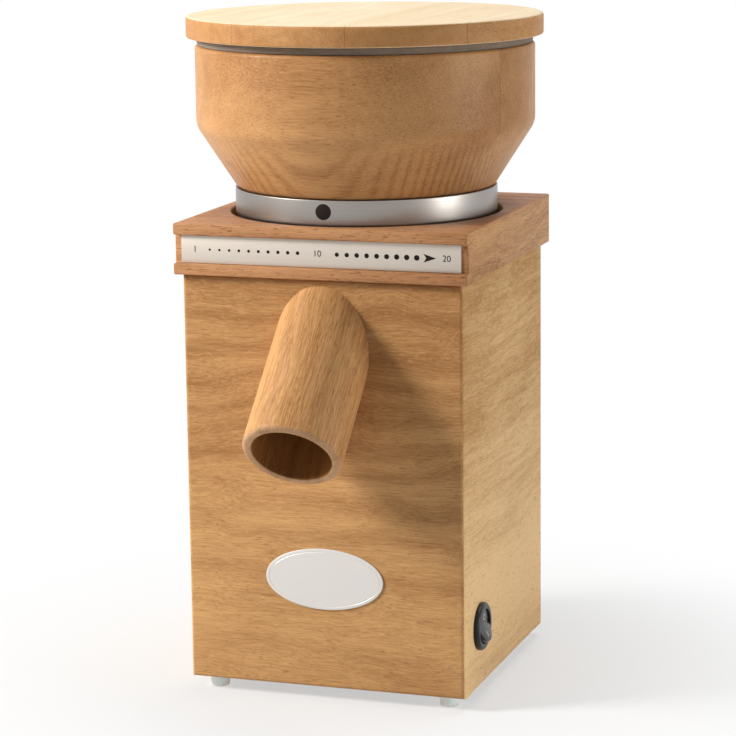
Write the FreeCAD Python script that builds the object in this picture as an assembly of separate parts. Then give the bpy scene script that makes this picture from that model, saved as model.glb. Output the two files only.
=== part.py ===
import FreeCAD, Part
import math
import os

# An electric stone grain mill, in millimetres. +Z is up and the spout points along -Y.
# It is drawn with the hopper, the stones and the motor turning about the Z axis, and at the end
# every piece moves back together, so that the origin lies under the middle of the whole mill.

V = FreeCAD.Vector
X_AXIS = V(1, 0, 0)
Y_AXIS = V(0, 1, 0)
Z_AXIS = V(0, 0, 1)
CENTRE = V(0, 0, 0)

# Clearances
running_gap = 0.05
thread_gap = 0.08
loose_gap = 0.5
lid_rest_gap = 0.1
through_cut = 1.0
same_place = 0.01
hexagon_sides = 6
hexagon_half_angle = 30.0

# Feet
foot_height = 7.0
foot_top_radius = 5.6
foot_bottom_radius = 5.0
foot_edge_round = 0.8
foot_well_depth = 1.2
foot_inset = 11.75

# Case of four panels and a base board
case_width = 153.0
case_depth = 153.0
case_height = 219.0
panel_thickness = 15.0
case_edge_round = 2.2
base_thickness = 8.0
base_recess = 1.0
base_gap = 0.5
cleat_size = 10.0
cleat_length = 84.0
vent_count = 7
vent_width = 4.0
vent_length = 62.0
vent_pitch = 11.0

# Head block
head_overhang = 3.5
head_height = 27.0
head_edge_chamfer = 0.7
recess_margin = 7.0
recess_depth = 9.5
head_dowel_radius = 4.0
head_dowel_length = 24.0
groove_depth = 3.2
groove_height = 15.0
groove_above_base = 6.0

# Scale plate and badge
plate_end_margin = 3.8
plate_height = 14.5
plate_thickness = 0.8
badge_width = 65.0
badge_height = 33.0
badge_thickness = 0.8
badge_centre_height = 66.6

# Spout
spout_tilt = 43.2
spout_reach = 47.4
spout_top_margin = 3.13
spout_bore_radius = 21.0
spout_wall = 5.0
spout_edge_round = 2.4
spout_mouth_round = 1.0

# Milling chamber
chamber_case_gap = 3.5
chamber_wall = 3.5
chamber_depth = 40.0
chamber_floor = 4.0
chamber_flange_thickness = 4.0
chamber_flange_gap = 1.5
chamber_flange_corner = 5.0
chamber_screw_margin = 2.0
duct_wall = 3.5
duct_step = 1.0
duct_roof = 3.0
duct_inner_reach = 12.0
boss_radius = 6.0
boss_height = 16.0

# Threaded seat and stone carrier guides
seat_flange_margin = 5.0
seat_ledge = 4.8
seat_wall = 6.1
seat_flange_height = 6.0
seat_collar_depth = 2.0
seat_screw_count = 6
seat_screw_first_angle = 30.0
guide_count = 3
guide_first_angle = 45.0
guide_collar_gap = 0.4
guide_pin_radius = 1.5
guide_pin_height = 14.5
spring_wire_radius = 0.35
spring_coil_radius = 2.6
spring_turns = 5
dust_seal_height = 3.0
dust_seal_gap = 0.3

# Millstones
stone_chamber_gap = 17.0
stone_thickness = 20.0
lower_stone_bore = 10.0
upper_stone_eye = 16.0
stone_gap = 0.9
furrow_count = 12
furrow_width = 3.0
furrow_depth = 1.0
furrow_slant = 14.0
rotor_plate_gap = 9.5
rotor_plate_thickness = 6.0
rotor_plate_lift = 3.0
sweeper_count = 3
sweeper_first_angle = 15.0
sweeper_gap = 2.0
sweeper_width = 5.0
sweeper_height = 12.0
stone_nut_flats = 14.0
stone_nut_height = 6.0
washer_thickness = 1.5
washer_radius = 13.0
carrier_wall = 6.0
carrier_skirt = 12.0
carrier_top = 2.1
lug_thickness = 5.0
lug_width = 12.0

# Hopper, ring and feed tube
ring_gap = 2.7
ring_bottom_above_head = -2.0
ring_height = 15.2
ring_skirt_wall = 4.3
ring_skirt_depth = 4.0
ring_edge_round = 2.8
ring_collar_wall = 3.6
ring_web_thickness = 4.0
ring_web_bore = 28.0
ring_screw_count = 6
marker_radius = 4.25
marker_depth = 0.8
marker_proud = 0.15
marker_below_ring_top = 6.0
hopper_radius = 90.5
hopper_base_step = 1.3
hopper_height = 75.8
hopper_cone_height = 33.3
hopper_base_round = 5.0
hopper_knuckle_round = 12.0
hopper_rim_round = 1.8
hopper_wall = 9.0
hopper_funnel_angle = 24.0
hopper_bowl_round = 14.0
feed_tube_radius = 16.0
feed_tube_wall = 2.0
feed_tube_flange = 26.0
feed_tube_flange_thickness = 2.0
feed_tube_stand = 4.0
guard_bar_width = 2.4
guard_bar_height = 3.0
guard_depth = 3.0

# Lid
lid_overhang = 4.5
lid_thickness = 11.2
lid_top_round = 1.6
lid_bottom_round = 0.8
lid_plug_gap = 1.0
lid_plug_depth = 8.0
lid_seal_height = 4.1
lid_seal_inset = 1.1

# Motor
motor_case_gap = 9.5
fan_floor_gap = 16.0
shield_plate = 8.0
shield_skirt = 3.0
shield_bolt_wall = 1.2
shield_depth = 21.0
rotor_air_gap = 0.5
winding_bolt_gap = 0.8
winding_width = 11.5
winding_height = 12.0
winding_round = 3.0
rotor_core_step = 2.0
cage_ring_height = 7.0
cage_ring_inset = 2.5
cage_ring_wall = 6.0
bearing_outer_radius = 17.5
bearing_height = 11.0
bearing_ring_wall = 2.5
bearing_groove_depth = 0.6
bearing_hub_wall = 3.5
shaft_radius = 7.5
shaft_core_radius = 8.5
shaft_top_radius = 6.0
shaft_fan_length = 22.0
shaft_step_gap = 2.0
shaft_end_over_nut = 1.0
shaft_seal_radius = 13.0
motor_bolt_radius = 2.0
motor_bolt_inset = 6.0
motor_bolt_grip = 12.0
motor_bolt_head_radius = 3.6
motor_bolt_head_height = 2.6
fan_inset = 12.0
fan_hub_radius = 11.0
fan_plate = 2.0
fan_blade_count = 9
fan_blade_height = 12.0
fan_blade_thickness = 1.6
fan_blade_inset = 0.5

# Electrical pieces
capacitor_radius = 12.5
capacitor_height = 62.0
capacitor_base_height = 60.0
capacitor_edge_round = 1.0
capacitor_clip_wall = 1.0
capacitor_clip_height = 12.0
capacitor_tab_length = 23.8
terminal_width = 34.0
terminal_depth = 12.0
terminal_height = 14.0
terminal_ways = 3
terminal_x = 16.0
terminal_base_height = 26.0
terminal_well_radius = 2.2
lead_radius = 1.1
lead_bend_radius = 2.4
lead_block_inset = 2.0
lead_drop_gap = 4.5
lead_floor_gap = 3.5
lead_level_step = 3.3
lead_turn_offset = 4.0
lead_turn_step = 12.0
lead_switch_gap = 9.0
lead_spacing = 4.4
gland_x = -38.0
gland_height = 36.0
gland_bore_radius = 3.8
gland_thread_radius = 7.0
gland_head_radius = 10.0
gland_head_length = 11.0
gland_edge_round = 2.0
gland_nut_radius = 11.0
gland_nut_thickness = 4.0
gland_tail = 6.0

# Switch
switch_from_front = 29.0
switch_height = 39.2
switch_bezel_radius = 12.75
switch_bezel_proud = 3.0
switch_bezel_round = 1.6
switch_body_radius = 10.1
switch_well_radius = 9.35
switch_body_length = 24.0
switch_floor = 2.0
switch_blade_count = 2
switch_blade_length = 7.0
switch_blade_width = 4.8
switch_blade_thickness = 0.8
rocker_radius = 9.2
rocker_tilt = 12.0
rocker_crest = 2.2
rocker_root = 4.0
rocker_pin_radius = 1.3

# Screws
case_screw_radius = 1.75
case_screw_head = 3.4
case_screw_length = 20.0
base_screw_length = 16.0
small_screw_radius = 1.5
small_screw_head = 2.9
small_screw_length = 13.0
screw_point_radius = 0.3
screw_taper_ratio = 1.2
drive_slot_width = 0.8
drive_slot_depth = 0.7

# Radii that follow from the narrower side of the case
case_half = min(case_width, case_depth) / 2
case_inner_half = case_half - panel_thickness
recess_radius = case_half + head_overhang - recess_margin
ring_radius = recess_radius - ring_gap
hopper_base_radius = ring_radius - hopper_base_step
seat_flange_radius = recess_radius - seat_flange_margin
head_bore_radius = seat_flange_radius - seat_ledge
seat_thread_radius = head_bore_radius - seat_wall
collar_radius = seat_thread_radius - thread_gap
guide_circle_radius = seat_thread_radius + guide_pin_radius + guide_collar_gap
carrier_reach = guide_circle_radius + 2 * guide_pin_radius
chamber_flange_half = case_inner_half - chamber_flange_gap
chamber_radius = case_inner_half - chamber_case_gap - chamber_wall
stone_radius = chamber_radius - stone_chamber_gap
carrier_radius = stone_radius + carrier_wall
rotor_plate_radius = chamber_radius - rotor_plate_gap
sweeper_length = rotor_plate_gap - sweeper_gap
motor_radius = case_inner_half - motor_case_gap
motor_bolt_circle = motor_radius - motor_bolt_inset
winding_outer_radius = motor_bolt_circle - motor_bolt_radius - shield_bolt_wall - winding_bolt_gap
core_bore_radius = winding_outer_radius - winding_width
cage_ring_outer = core_bore_radius - cage_ring_inset
cage_ring_inner = cage_ring_outer - cage_ring_wall
fan_radius = motor_radius - fan_inset
bowl_radius = hopper_radius - hopper_wall
lid_radius = hopper_radius + lid_overhang
lid_seal_outer_radius = hopper_radius - lid_seal_inset
lid_plug_radius = bowl_radius - lid_plug_gap

# Levels and places worked out from the sizes above
case_bottom = foot_height
head_bottom = case_bottom + case_height
head_top = head_bottom + head_height
recess_floor = head_top - recess_depth
inner_half_width = case_width / 2 - panel_thickness
inner_half_depth = case_depth / 2 - panel_thickness
front_face = -case_depth / 2
base_bottom = case_bottom + base_recess
base_top = base_bottom + base_thickness

ring_bottom = head_top + ring_bottom_above_head
ring_top = ring_bottom + ring_height
hopper_top = ring_top + hopper_height
lid_bottom = hopper_top + lid_rest_gap + lid_seal_height
lid_top = lid_bottom + lid_thickness
plate_length = case_width + 2 * head_overhang - 2 * plate_end_margin

chamber_flange_bottom = head_bottom - chamber_flange_thickness
chamber_floor_top = head_bottom - chamber_depth
chamber_floor_bottom = chamber_floor_top - chamber_floor
motor_top = chamber_floor_bottom - boss_height
motor_bottom = base_top + fan_floor_gap + shaft_fan_length
core_top = motor_top - shield_depth
core_bottom = motor_bottom + shield_depth
bolt_offset = motor_bolt_circle * math.sqrt(0.5)

rotor_plate_bottom = chamber_floor_top + rotor_plate_lift
lower_stone_bottom = rotor_plate_bottom + rotor_plate_thickness
lower_stone_top = lower_stone_bottom + stone_thickness
upper_stone_bottom = lower_stone_top + stone_gap
upper_stone_top = upper_stone_bottom + stone_thickness
carrier_top_level = upper_stone_top + carrier_top
seat_top = recess_floor + seat_flange_height

spout_radius = spout_bore_radius + spout_wall
spout_angle = math.radians(spout_tilt)
spout_direction = V(0, math.cos(spout_angle), math.sin(spout_angle))
spout_entry_height = head_bottom - spout_top_margin - spout_radius / math.cos(spout_angle)
spout_end = V(0, front_face - spout_reach, spout_entry_height - spout_reach * math.tan(spout_angle))
spout_blank_length = (spout_reach + panel_thickness) / math.cos(spout_angle) + 2 * spout_radius
duct_bore_radius = spout_bore_radius - duct_step
duct_radius = duct_bore_radius + duct_wall

switch_y = front_face + switch_from_front
switch_centre = V(case_width / 2, switch_y, switch_height)


def box(x0, x1, y0, y1, z0, z1):
    """A block between two corners."""
    return Part.makeBox(x1 - x0, y1 - y0, z1 - z0, V(x0, y0, z0))


def cylinder(radius, z0, z1, x=0.0, y=0.0):
    """An upright cylinder between two levels."""
    return Part.makeCylinder(radius, z1 - z0, V(x, y, z0), Z_AXIS)


def tube(outer, inner, z0, z1, x=0.0, y=0.0):
    """An upright tube between two levels."""
    return cylinder(outer, z0, z1, x, y).cut(cylinder(inner, z0 - through_cut, z1 + through_cut, x, y))


def turned(profile):
    """A solid of revolution about Z from (radius, level) points."""
    points = [V(radius, 0, level) for radius, level in profile]
    wire = Part.makePolygon(points + [points[0]])
    return Part.Face(wire).revolve(CENTRE, Z_AXIS, 360)


def rounded(shape, radius, chosen):
    """The shape with its chosen edges rounded."""
    edges = [edge for edge in shape.Edges if chosen(edge)]
    return shape.makeFillet(radius, edges)


def is_circle_at(edge, radius, level):
    """Whether an edge is a horizontal circle of one radius at one level."""
    curve = edge.Curve
    if not isinstance(curve, Part.Circle):
        return False
    size = edge.BoundBox
    level_low = abs(size.ZMin - level) < same_place
    level_high = abs(size.ZMax - level) < same_place
    return abs(curve.Radius - radius) < same_place and level_low and level_high


def is_upright_at(edge, x, y):
    """Whether an edge is a vertical line at one place."""
    size = edge.BoundBox
    upright = size.XLength < same_place and size.YLength < same_place
    return upright and abs(size.XMin - x) < same_place and abs(size.YMin - y) < same_place


def around(count, radius, first_angle=0.0):
    """Places evenly spaced on a circle about Z, with their angles in degrees."""
    places = []
    for index in range(count):
        angle = first_angle + 360.0 * index / count
        turn = math.radians(angle)
        places.append((radius * math.cos(turn), radius * math.sin(turn), angle))
    return places


def corners(half_x, half_y):
    """The four corners of a rectangle centred on Z."""
    return [(half_x * sx, half_y * sy) for sx in (-1, 1) for sy in (-1, 1)]


def screw_body(place, direction, length, radius, head_radius):
    """A countersunk screw without its drive slot, its head flush at the place given."""
    head_height = head_radius - radius
    taper_start = length - radius * screw_taper_ratio
    profile = [
        (0, 0),
        (head_radius, 0),
        (radius, head_height),
        (radius, taper_start),
        (screw_point_radius, length),
        (0, length),
    ]
    screw = turned(profile)
    screw.Placement = FreeCAD.Placement(place, FreeCAD.Rotation(Z_AXIS, direction))
    return screw


def screw(place, direction, length, radius, head_radius):
    """A countersunk screw with a straight drive slot."""
    slot = Part.makeBox(2 * head_radius, drive_slot_width, 2 * drive_slot_depth)
    slot.translate(V(-head_radius, -drive_slot_width / 2, -drive_slot_depth))
    slot.Placement = FreeCAD.Placement(place, FreeCAD.Rotation(Z_AXIS, direction)).multiply(slot.Placement)
    return screw_body(place, direction, length, radius, head_radius).cut(slot)


def pierced(shape, places, direction, length, radius, head_radius):
    """The shape with the room of each screw taken out of it."""
    for place in places:
        shape = shape.cut(screw_body(place, direction, length, radius, head_radius))
    return shape


def along_spout(radius, start, end):
    """A cylinder along the spout's axis, measured inwards from the spout's mouth."""
    return Part.makeCylinder(radius, end - start, spout_end + spout_direction * start, spout_direction)


def lead(points, bend):
    """A round wire along straight runs with a tangent arc at each bend."""
    edges = []
    start = points[0]
    for before, corner, after in zip(points, points[1:], points[2:]):
        arrive = (corner - before).normalize()
        leave = (after - corner).normalize()
        turn = arrive.getAngle(leave)
        back = bend * math.tan(turn / 2)
        arc_start = corner - arrive * back
        arc_end = corner + leave * back
        inward = (leave - arrive).normalize()
        middle = corner + inward * (bend / math.cos(turn / 2) - bend)
        edges.append(Part.makeLine(start, arc_start))
        edges.append(Part.Arc(arc_start, middle, arc_end).toShape())
        start = arc_end
    edges.append(Part.makeLine(start, points[-1]))
    path = Part.Wire(edges)
    section = Part.Wire(Part.makeCircle(lead_radius, points[0], points[1] - points[0]))
    return path.makePipeShell([section], True, False)


# Where the screws stand
foot_places = corners(case_width / 2 - foot_inset, case_depth / 2 - foot_inset)
foot_screw_places = [V(x, y, foot_well_depth) for x, y in foot_places]
base_screw_places = [
    V(x, y, base_bottom)
    for x, y in corners(inner_half_width - base_gap - cleat_size / 2, cleat_length / 2 - cleat_size)
]
chamber_screw_offset = chamber_flange_half - case_screw_head - chamber_screw_margin
chamber_screw_places = [
    V(x, y, chamber_flange_bottom) for x, y in corners(chamber_screw_offset, chamber_screw_offset)
]
seat_screw_circle = (head_bore_radius + seat_flange_radius) / 2
seat_screw_places = [
    V(x, y, seat_top)
    for x, y, angle in around(seat_screw_count, seat_screw_circle, seat_screw_first_angle)
]
ring_screw_circle = (ring_web_bore + collar_radius - ring_collar_wall) / 2
ring_screw_places = [
    V(x, y, ring_top - ring_web_thickness)
    for x, y, angle in around(ring_screw_count, ring_screw_circle)
]
guide_places = around(guide_count, guide_circle_radius, guide_first_angle)
bolt_places = corners(bolt_offset, bolt_offset)


def spout_hole(panel):
    """A panel with the round slanting hole that the spout is glued into."""
    return panel.cut(along_spout(spout_radius, 0, spout_blank_length))


def wide_panel(y0, y1, outer_y):
    """A full-width panel with its outer upright edges and its lower outer edge rounded."""
    half = case_width / 2
    panel = box(-half, half, y0, y1, case_bottom, head_bottom)
    panel = rounded(
        panel,
        case_edge_round,
        lambda edge: is_upright_at(edge, -half, outer_y) or is_upright_at(edge, half, outer_y),
    )
    return panel


def case_pierced(shape, places):
    """The shape with the room of each upright case screw taken out of it."""
    return pierced(shape, places, Z_AXIS, case_screw_length, case_screw_radius, case_screw_head)


def base_pierced(shape):
    """The shape with the room of each base screw taken out of it."""
    return pierced(shape, base_screw_places, Z_AXIS, base_screw_length, case_screw_radius, case_screw_head)


def front_panel():
    panel = wide_panel(front_face, -inner_half_depth, front_face)
    return spout_hole(case_pierced(panel, foot_screw_places))


def back_panel():
    panel = wide_panel(inner_half_depth, case_depth / 2, case_depth / 2)
    panel = case_pierced(panel, foot_screw_places)
    hole = Part.makeCylinder(
        gland_thread_radius,
        panel_thickness + 2 * through_cut,
        V(gland_x, inner_half_depth - through_cut, gland_height),
        Y_AXIS,
    )
    return panel.cut(hole)


def side_panel(side):
    """A side panel between the front and back panels; side is -1 for left and 1 for right."""
    x0, x1 = sorted((side * inner_half_width, side * case_width / 2))
    return box(x0, x1, -inner_half_depth, inner_half_depth, case_bottom, head_bottom)


def right_panel():
    panel = side_panel(1)
    start = switch_centre - X_AXIS * (panel_thickness + through_cut)
    hole = Part.makeCylinder(switch_body_radius, panel_thickness + 2 * through_cut, start, X_AXIS)
    return panel.cut(hole)


def base_board():
    """The removable floor of the case, with a row of air slots under the fan."""
    half_x = inner_half_width - base_gap
    half_y = inner_half_depth - base_gap
    board = box(-half_x, half_x, -half_y, half_y, base_bottom, base_top)
    for index in range(vent_count):
        x = (index - (vent_count - 1) / 2) * vent_pitch
        slot = box(
            x - vent_width / 2,
            x + vent_width / 2,
            -vent_length / 2,
            vent_length / 2,
            base_bottom - through_cut,
            base_top + through_cut,
        )
        end_round = vent_width / 2 - same_place
        board = board.cut(rounded(slot, end_round, lambda edge: edge.BoundBox.ZLength > base_thickness))
    return base_pierced(board)


def base_cleats():
    """Two battens inside the side panels that the base board is screwed up into."""
    cleats = []
    for side in (-1, 1):
        x0, x1 = sorted((side * inner_half_width, side * (inner_half_width - cleat_size)))
        cleat = box(x0, x1, -cleat_length / 2, cleat_length / 2, base_top, base_top + cleat_size)
        cleats.append(base_pierced(cleat))
    return cleats


def foot(place):
    """A short tapered foot, hollowed for its screw."""
    x, y = place
    solid = Part.makeCone(foot_bottom_radius, foot_top_radius, foot_height, V(x, y, 0), Z_AXIS)
    solid = rounded(solid, foot_edge_round, lambda edge: is_circle_at(edge, foot_bottom_radius, 0))
    well = cylinder(case_screw_head, -through_cut, foot_well_depth, x, y)
    return case_pierced(solid.cut(well), foot_screw_places)


def foot_screws():
    return [
        screw(place, Z_AXIS, case_screw_length, case_screw_radius, case_screw_head)
        for place in foot_screw_places
    ]


def base_screws():
    return [
        screw(place, Z_AXIS, base_screw_length, case_screw_radius, case_screw_head)
        for place in base_screw_places
    ]


def head_dowel_places():
    """Two dowels in the middle thickness of each side panel."""
    return corners(case_width / 2 - panel_thickness / 2, case_depth / 4)


def head_dowels():
    low = head_bottom - head_dowel_length / 2
    high = head_bottom + head_dowel_length / 2
    return [cylinder(head_dowel_radius, low, high, x, y) for x, y in head_dowel_places()]


def without_dowels(shape):
    """The shape with the dowel holes drilled in it."""
    for dowel in head_dowels():
        shape = shape.cut(dowel)
    return shape


def head_block():
    """The square wooden head with the round recess of the hopper ring and the groove of the scale plate."""
    half_x = case_width / 2 + head_overhang
    half_y = case_depth / 2 + head_overhang
    block = box(-half_x, half_x, -half_y, half_y, head_bottom, head_top)
    block = block.makeChamfer(head_edge_chamfer, block.Edges)
    block = block.cut(cylinder(recess_radius, recess_floor, head_top + through_cut))
    block = block.cut(cylinder(head_bore_radius, head_bottom - through_cut, head_top))
    groove = box(
        -half_x - through_cut,
        half_x + through_cut,
        -half_y - through_cut,
        -half_y + groove_depth,
        head_bottom + groove_above_base,
        head_bottom + groove_above_base + groove_height,
    )
    block = block.cut(groove)
    block = case_pierced(block, chamber_screw_places)
    block = pierced(
        block, seat_screw_places, -Z_AXIS, small_screw_length, small_screw_radius, small_screw_head
    )
    return without_dowels(block)


def scale_plate():
    """The thin metal scale strip in the head's groove."""
    half = plate_length / 2
    floor_y = -case_depth / 2 - head_overhang + groove_depth
    low = head_bottom + groove_above_base + (groove_height - plate_height) / 2
    return box(-half, half, floor_y - plate_thickness, floor_y, low, low + plate_height)


def oval_badge():
    """The bare oval metal badge on the front panel."""
    ellipse = Part.Ellipse(CENTRE, badge_width / 2, badge_height / 2).toShape()
    badge = Part.Face(Part.Wire(ellipse)).extrude(Z_AXIS * badge_thickness)
    badge.rotate(CENTRE, X_AXIS, 90)
    badge.translate(V(0, front_face, badge_centre_height))
    return badge


def is_mouth_circle(edge):
    """Whether an edge is a circle round the middle of the spout's mouth."""
    return isinstance(edge.Curve, Part.Circle) and (edge.CenterOfMass - spout_end).Length < same_place


def is_mouth_bore(edge):
    """Whether an edge is the inner circle of the spout's mouth."""
    return is_mouth_circle(edge) and abs(edge.Curve.Radius - spout_bore_radius) < same_place


def spout():
    """The slanting wooden flour spout, trimmed flush inside the front panel."""
    body = along_spout(spout_radius, 0, spout_blank_length)
    body = rounded(body, spout_edge_round, is_mouth_circle)
    body = body.cut(along_spout(spout_bore_radius, -through_cut, spout_blank_length + through_cut))
    body = rounded(body, spout_mouth_round, is_mouth_bore)
    keep = box(
        -case_width / 2,
        case_width / 2,
        front_face - spout_blank_length,
        -inner_half_depth,
        case_bottom,
        head_bottom,
    )
    return body.common(keep)


def milling_chamber():
    """The cast flour chamber under the head, with its outlet duct and the bosses that carry the motor."""
    half = chamber_flange_half
    flange = box(-half, half, -half, half, chamber_flange_bottom, head_bottom)
    flange = rounded(
        flange,
        chamber_flange_corner,
        lambda edge: edge.BoundBox.ZLength > chamber_flange_thickness / 2,
    )
    outer = cylinder(chamber_radius + chamber_wall, chamber_floor_bottom, head_bottom)
    inner_end = (-inner_half_depth - spout_end.y) / math.cos(spout_angle) + spout_radius + duct_inner_reach
    duct_room = box(-half, half, -inner_half_depth, 0, spout_end.z, chamber_flange_bottom)
    duct = along_spout(duct_radius, 0, inner_end).common(duct_room)
    chamber = flange.fuse([outer, duct])
    for x, y in bolt_places:
        chamber = chamber.fuse(cylinder(boss_radius, motor_top, chamber_floor_top, x, y))
    chamber = chamber.cut(cylinder(chamber_radius, chamber_floor_top, head_bottom + through_cut))
    roof = chamber_flange_bottom - duct_roof
    bore_room = box(-half, half, -inner_half_depth - through_cut, 0, spout_end.z, roof)
    chamber = chamber.cut(along_spout(duct_bore_radius, 0, inner_end * 2).common(bore_room))
    floor_low = chamber_floor_bottom - through_cut
    floor_high = chamber_floor_top + through_cut
    chamber = chamber.cut(cylinder(shaft_seal_radius, floor_low, floor_high))
    for x, y in bolt_places:
        chamber = chamber.cut(
            cylinder(motor_bolt_radius, motor_top - through_cut, motor_top + motor_bolt_grip, x, y)
        )
    for x, y, angle in guide_places:
        chamber = chamber.cut(
            cylinder(guide_pin_radius, chamber_flange_bottom - through_cut, head_bottom + through_cut, x, y)
        )
    return case_pierced(chamber, chamber_screw_places).removeSplitter()


def chamber_screws():
    return [
        screw(place, Z_AXIS, case_screw_length, case_screw_radius, case_screw_head)
        for place in chamber_screw_places
    ]


def thread_ring():
    """The fixed threaded seat that the hopper ring screws into."""
    ring = turned(
        [
            (seat_thread_radius, recess_floor - seat_collar_depth),
            (head_bore_radius, recess_floor - seat_collar_depth),
            (head_bore_radius, recess_floor),
            (seat_flange_radius, recess_floor),
            (seat_flange_radius, seat_top),
            (seat_thread_radius, seat_top),
        ]
    )
    return pierced(ring, seat_screw_places, -Z_AXIS, small_screw_length, small_screw_radius, small_screw_head)


def thread_ring_screws():
    return [
        screw(place, -Z_AXIS, small_screw_length, small_screw_radius, small_screw_head)
        for place in seat_screw_places
    ]


def guide_pins():
    """The pins that keep the upper stone from turning and let it rise and sink."""
    top = head_bottom + guide_pin_height
    return [
        cylinder(guide_pin_radius, chamber_flange_bottom, top, x, y)
        for x, y, angle in guide_places
    ]


def carrier_springs():
    """The springs on the guide pins that push the upper stone carrier up against the hopper ring."""
    low = head_bottom + spring_wire_radius
    high = carrier_top_level - lug_thickness - spring_wire_radius
    springs = []
    for x, y, angle in guide_places:
        helix = Part.makeHelix((high - low) / spring_turns, high - low, spring_coil_radius)
        start = V(spring_coil_radius, 0, 0)
        section = Part.Wire(Part.makeCircle(spring_wire_radius, start, Y_AXIS))
        spring = helix.makePipeShell([section], True, True)
        spring.translate(V(x, y, low))
        springs.append(spring)
    return springs


def dust_seal():
    """The felt ring that keeps flour under the upper stone carrier."""
    return tube(chamber_radius, carrier_radius + dust_seal_gap, head_bottom - dust_seal_height, head_bottom)


def shaft_seal():
    return tube(shaft_seal_radius, shaft_radius + running_gap, chamber_floor_bottom, chamber_floor_top)


def end_shield(outside, inside, bearing_end):
    """A motor end cover between its outer and inner levels, with a hub for the bearing."""
    step = 1 if outside > inside else -1
    plate_inner = outside - step * shield_plate
    skirt_radius = motor_radius - shield_skirt
    hub_radius = bearing_outer_radius + bearing_hub_wall
    shield = turned(
        [
            (bearing_outer_radius, outside),
            (motor_radius, outside),
            (motor_radius, inside),
            (skirt_radius, inside),
            (skirt_radius, plate_inner),
            (hub_radius, plate_inner),
            (hub_radius, bearing_end),
            (bearing_outer_radius, bearing_end),
        ]
    )
    low, high = sorted((outside, inside))
    for x, y in bolt_places:
        shield = shield.fuse(cylinder(motor_bolt_radius + shield_bolt_wall, low, high, x, y))
    for x, y in bolt_places:
        shield = shield.cut(cylinder(motor_bolt_radius, low - through_cut, high + through_cut, x, y))
    return shield.removeSplitter()


def upper_end_shield():
    return end_shield(motor_top, core_top, motor_top - bearing_height)


def lower_end_shield():
    return end_shield(motor_bottom, core_bottom, motor_bottom + bearing_height)


def bearing(low):
    """A shielded ball bearing, with a shallow groove between its rings on both faces."""
    inner = shaft_radius + running_gap
    high = low + bearing_height
    ring = tube(bearing_outer_radius, inner, low, high)
    grooves = (
        (low - through_cut, low + bearing_groove_depth),
        (high - bearing_groove_depth, high + through_cut),
    )
    for z0, z1 in grooves:
        ring = ring.cut(tube(bearing_outer_radius - bearing_ring_wall, inner + bearing_ring_wall, z0, z1))
    return ring


def stator_core():
    core = tube(motor_radius, core_bore_radius, core_bottom, core_top)
    for x, y in bolt_places:
        core = core.cut(cylinder(motor_bolt_radius, core_bottom - through_cut, core_top + through_cut, x, y))
    return core


def stator_winding():
    """The two rounded end turns of the winding, above and below the core."""
    ends = []
    for core_level, outer_level in (
        (core_top, core_top + winding_height),
        (core_bottom, core_bottom - winding_height),
    ):
        low, high = sorted((core_level, outer_level))
        inner = core_bore_radius + rotor_air_gap
        ring = tube(winding_outer_radius, inner, low, high)
        for radius in (inner, winding_outer_radius):
            ring = rounded(ring, winding_round, lambda edge: is_circle_at(edge, radius, outer_level))
        ends.append(ring)
    return ends


def motor_bolts():
    """The long bolts that hold the motor together and hang it from the chamber's bosses."""
    bolts = []
    for x, y in bolt_places:
        shank = cylinder(motor_bolt_radius, motor_bottom, motor_top + motor_bolt_grip, x, y)
        head = cylinder(motor_bolt_head_radius, motor_bottom - motor_bolt_head_height, motor_bottom, x, y)
        bolts.append(shank.fuse(head).removeSplitter())
    return bolts


def motor_shaft():
    """The stepped shaft from the fan up through the motor to the lower stone."""
    fan_end = motor_bottom - shaft_fan_length
    top = lower_stone_top + washer_thickness + stone_nut_height + shaft_end_over_nut
    return turned(
        [
            (0, fan_end),
            (shaft_top_radius, fan_end),
            (shaft_top_radius, motor_bottom - shaft_step_gap),
            (shaft_radius, motor_bottom - shaft_step_gap),
            (shaft_radius, motor_bottom + bearing_height),
            (shaft_core_radius, motor_bottom + bearing_height),
            (shaft_core_radius, motor_top - bearing_height),
            (shaft_radius, motor_top - bearing_height),
            (shaft_radius, rotor_plate_bottom),
            (shaft_top_radius, rotor_plate_bottom),
            (shaft_top_radius, top),
            (0, top),
        ]
    )


def rotor_core():
    """The laminated rotor with its cast end rings."""
    low = core_bottom + rotor_core_step
    high = core_top - rotor_core_step
    core = tube(core_bore_radius - rotor_air_gap, shaft_core_radius, low, high)
    upper = tube(cage_ring_outer, cage_ring_inner, high, high + cage_ring_height)
    lower = tube(cage_ring_outer, cage_ring_inner, low - cage_ring_height, low)
    return core.fuse([upper, lower]).removeSplitter()


def cooling_fan():
    """The fan on the shaft's lower end, blowing room air up past the motor."""
    low = motor_bottom - shaft_fan_length
    high = low + fan_plate + fan_blade_height
    fan = cylinder(fan_radius, low, low + fan_plate).fuse(cylinder(fan_hub_radius, low, high))
    for x, y, angle in around(fan_blade_count, 0):
        blade = box(
            fan_hub_radius / 2,
            fan_radius - fan_blade_inset,
            -fan_blade_thickness / 2,
            fan_blade_thickness / 2,
            low + fan_plate / 2,
            high,
        )
        blade.rotate(CENTRE, Z_AXIS, angle)
        fan = fan.fuse(blade)
    return fan.cut(cylinder(shaft_top_radius, low - through_cut, high + through_cut)).removeSplitter()


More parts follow.
